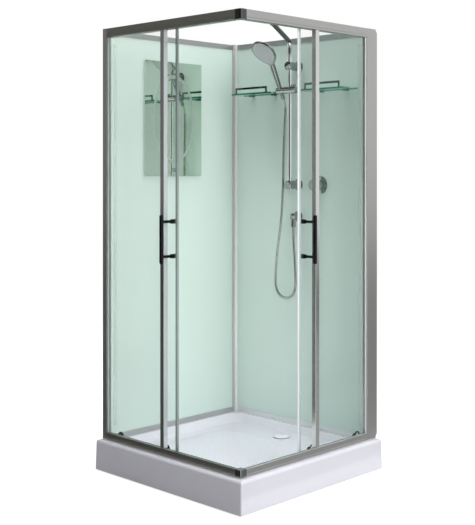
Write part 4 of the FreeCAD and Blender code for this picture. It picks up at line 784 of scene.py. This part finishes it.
reflection_card("front_card", place=(-2.9, -3.2, 1.7), target=(0, -0.4, 1.7), size=5.6,
                low=0.045, high=0.14)
reflection_card("front_floor_card", place=(-1.6, -2.76, 0.004), target=(-1.6, -2.76, 2), size=4.6,
                low=0.06, high=0.06)
reflection_card("middle_card", place=(0.9, -6.0, 2.0), target=(0, 0, 2.0), size=6.4,
                low=0.05, high=0.06)
reflection_card("camera_card", place=(4.6, -4.4, 2.0), target=(0, 0, 2.0), size=6.4,
                low=0.05, high=0.06)
reflection_card("right_card", place=(4.83, -1.29, 2.0), target=(0, 0, 2.0), size=5.1,
                low=0.95, high=0.95)
reflection_card("side_card", place=(3.3, 3.0, 1.7), target=(0.4, 0, 1.7), size=5.6,
                low=0.19, high=0.80, step=-1.0)
reflection_card("side_floor_card", place=(2.9, 1.6, 0.004), target=(2.9, 1.6, 2), size=4.6,
                low=0.35, high=0.35)
reflection_card("ceiling_card", place=(0.4, -0.4, 5.0), target=(0.4, -0.4, 0), size=9.0,
                low=0.14, high=0.14)


def seen_directly(tree):
    """One for camera, mirror and see-through rays, and zero for all others."""
    path = tree.nodes.new("ShaderNodeLightPath")
    either = tree.nodes.new("ShaderNodeMath")
    either.operation = "MAXIMUM"
    wire(tree, path, "Is Camera Ray", either, 0)
    wire(tree, path, "Is Glossy Ray", either, 1)
    any_of = tree.nodes.new("ShaderNodeMath")
    any_of.operation = "MAXIMUM"
    wire(tree, either, "Value", any_of, 0)
    wire(tree, path, "Is Transmission Ray", any_of, 1)
    return any_of


world = bpy.data.worlds.new("studio")
world.use_nodes = True
scene.world = world
sky = world.node_tree
ambient = sky.nodes["Background"]
ambient.inputs["Color"].default_value = WHITE
ambient.inputs["Strength"].default_value = AMBIENT
white = sky.nodes.new("ShaderNodeBackground")
white.inputs["Color"].default_value = WHITE
white.inputs["Strength"].default_value = BACKGROUND_LEVEL
backdrop = sky.nodes.new("ShaderNodeMixShader")
wire(sky, seen_directly(sky), "Value", backdrop, 0)
wire(sky, ambient, "Background", backdrop, 1)
wire(sky, white, "Background", backdrop, 2)
wire(sky, backdrop, "Shader", sky.nodes["World Output"], "Surface")


def studio_floor():
    """Pale floor that reads white round the object and keeps its soft shadow."""
    deselect()
    bpy.ops.mesh.primitive_plane_add(size=FLOOR_SIZE, location=(0, 0, 0))
    floor = bpy.context.object
    floor.name = "studio_floor"
    paint = bpy.data.materials.new("floor_paint")
    paint.use_nodes = True
    tree = paint.node_tree
    matt = tree.nodes["Principled BSDF"]
    matt.inputs["Base Color"].default_value = FLOOR_SEEN
    matt.inputs["Roughness"].default_value = FLOOR_ROUGHNESS
    dull = tree.nodes.new("ShaderNodeBsdfDiffuse")
    dull.inputs["Color"].default_value = FLOOR_LIGHTING
    glow = tree.nodes.new("ShaderNodeEmission")
    glow.inputs["Strength"].default_value = FLOOR_GLOW
    both = tree.nodes.new("ShaderNodeAddShader")
    wire(tree, matt, "BSDF", both, 0)
    wire(tree, glow, "Emission", both, 1)
    lit = tree.nodes.new("ShaderNodeMixShader")
    wire(tree, seen_directly(tree), "Value", lit, 0)
    wire(tree, dull, "BSDF", lit, 1)
    wire(tree, both, "Shader", lit, 2)
    wire(tree, lit, "Shader", tree.nodes["Material Output"], "Surface")
    floor.data.materials.append(paint)


studio_floor()

scene.view_settings.view_transform = "Standard"
scene.cycles.transparent_max_bounces = CLEAR_LAYERS
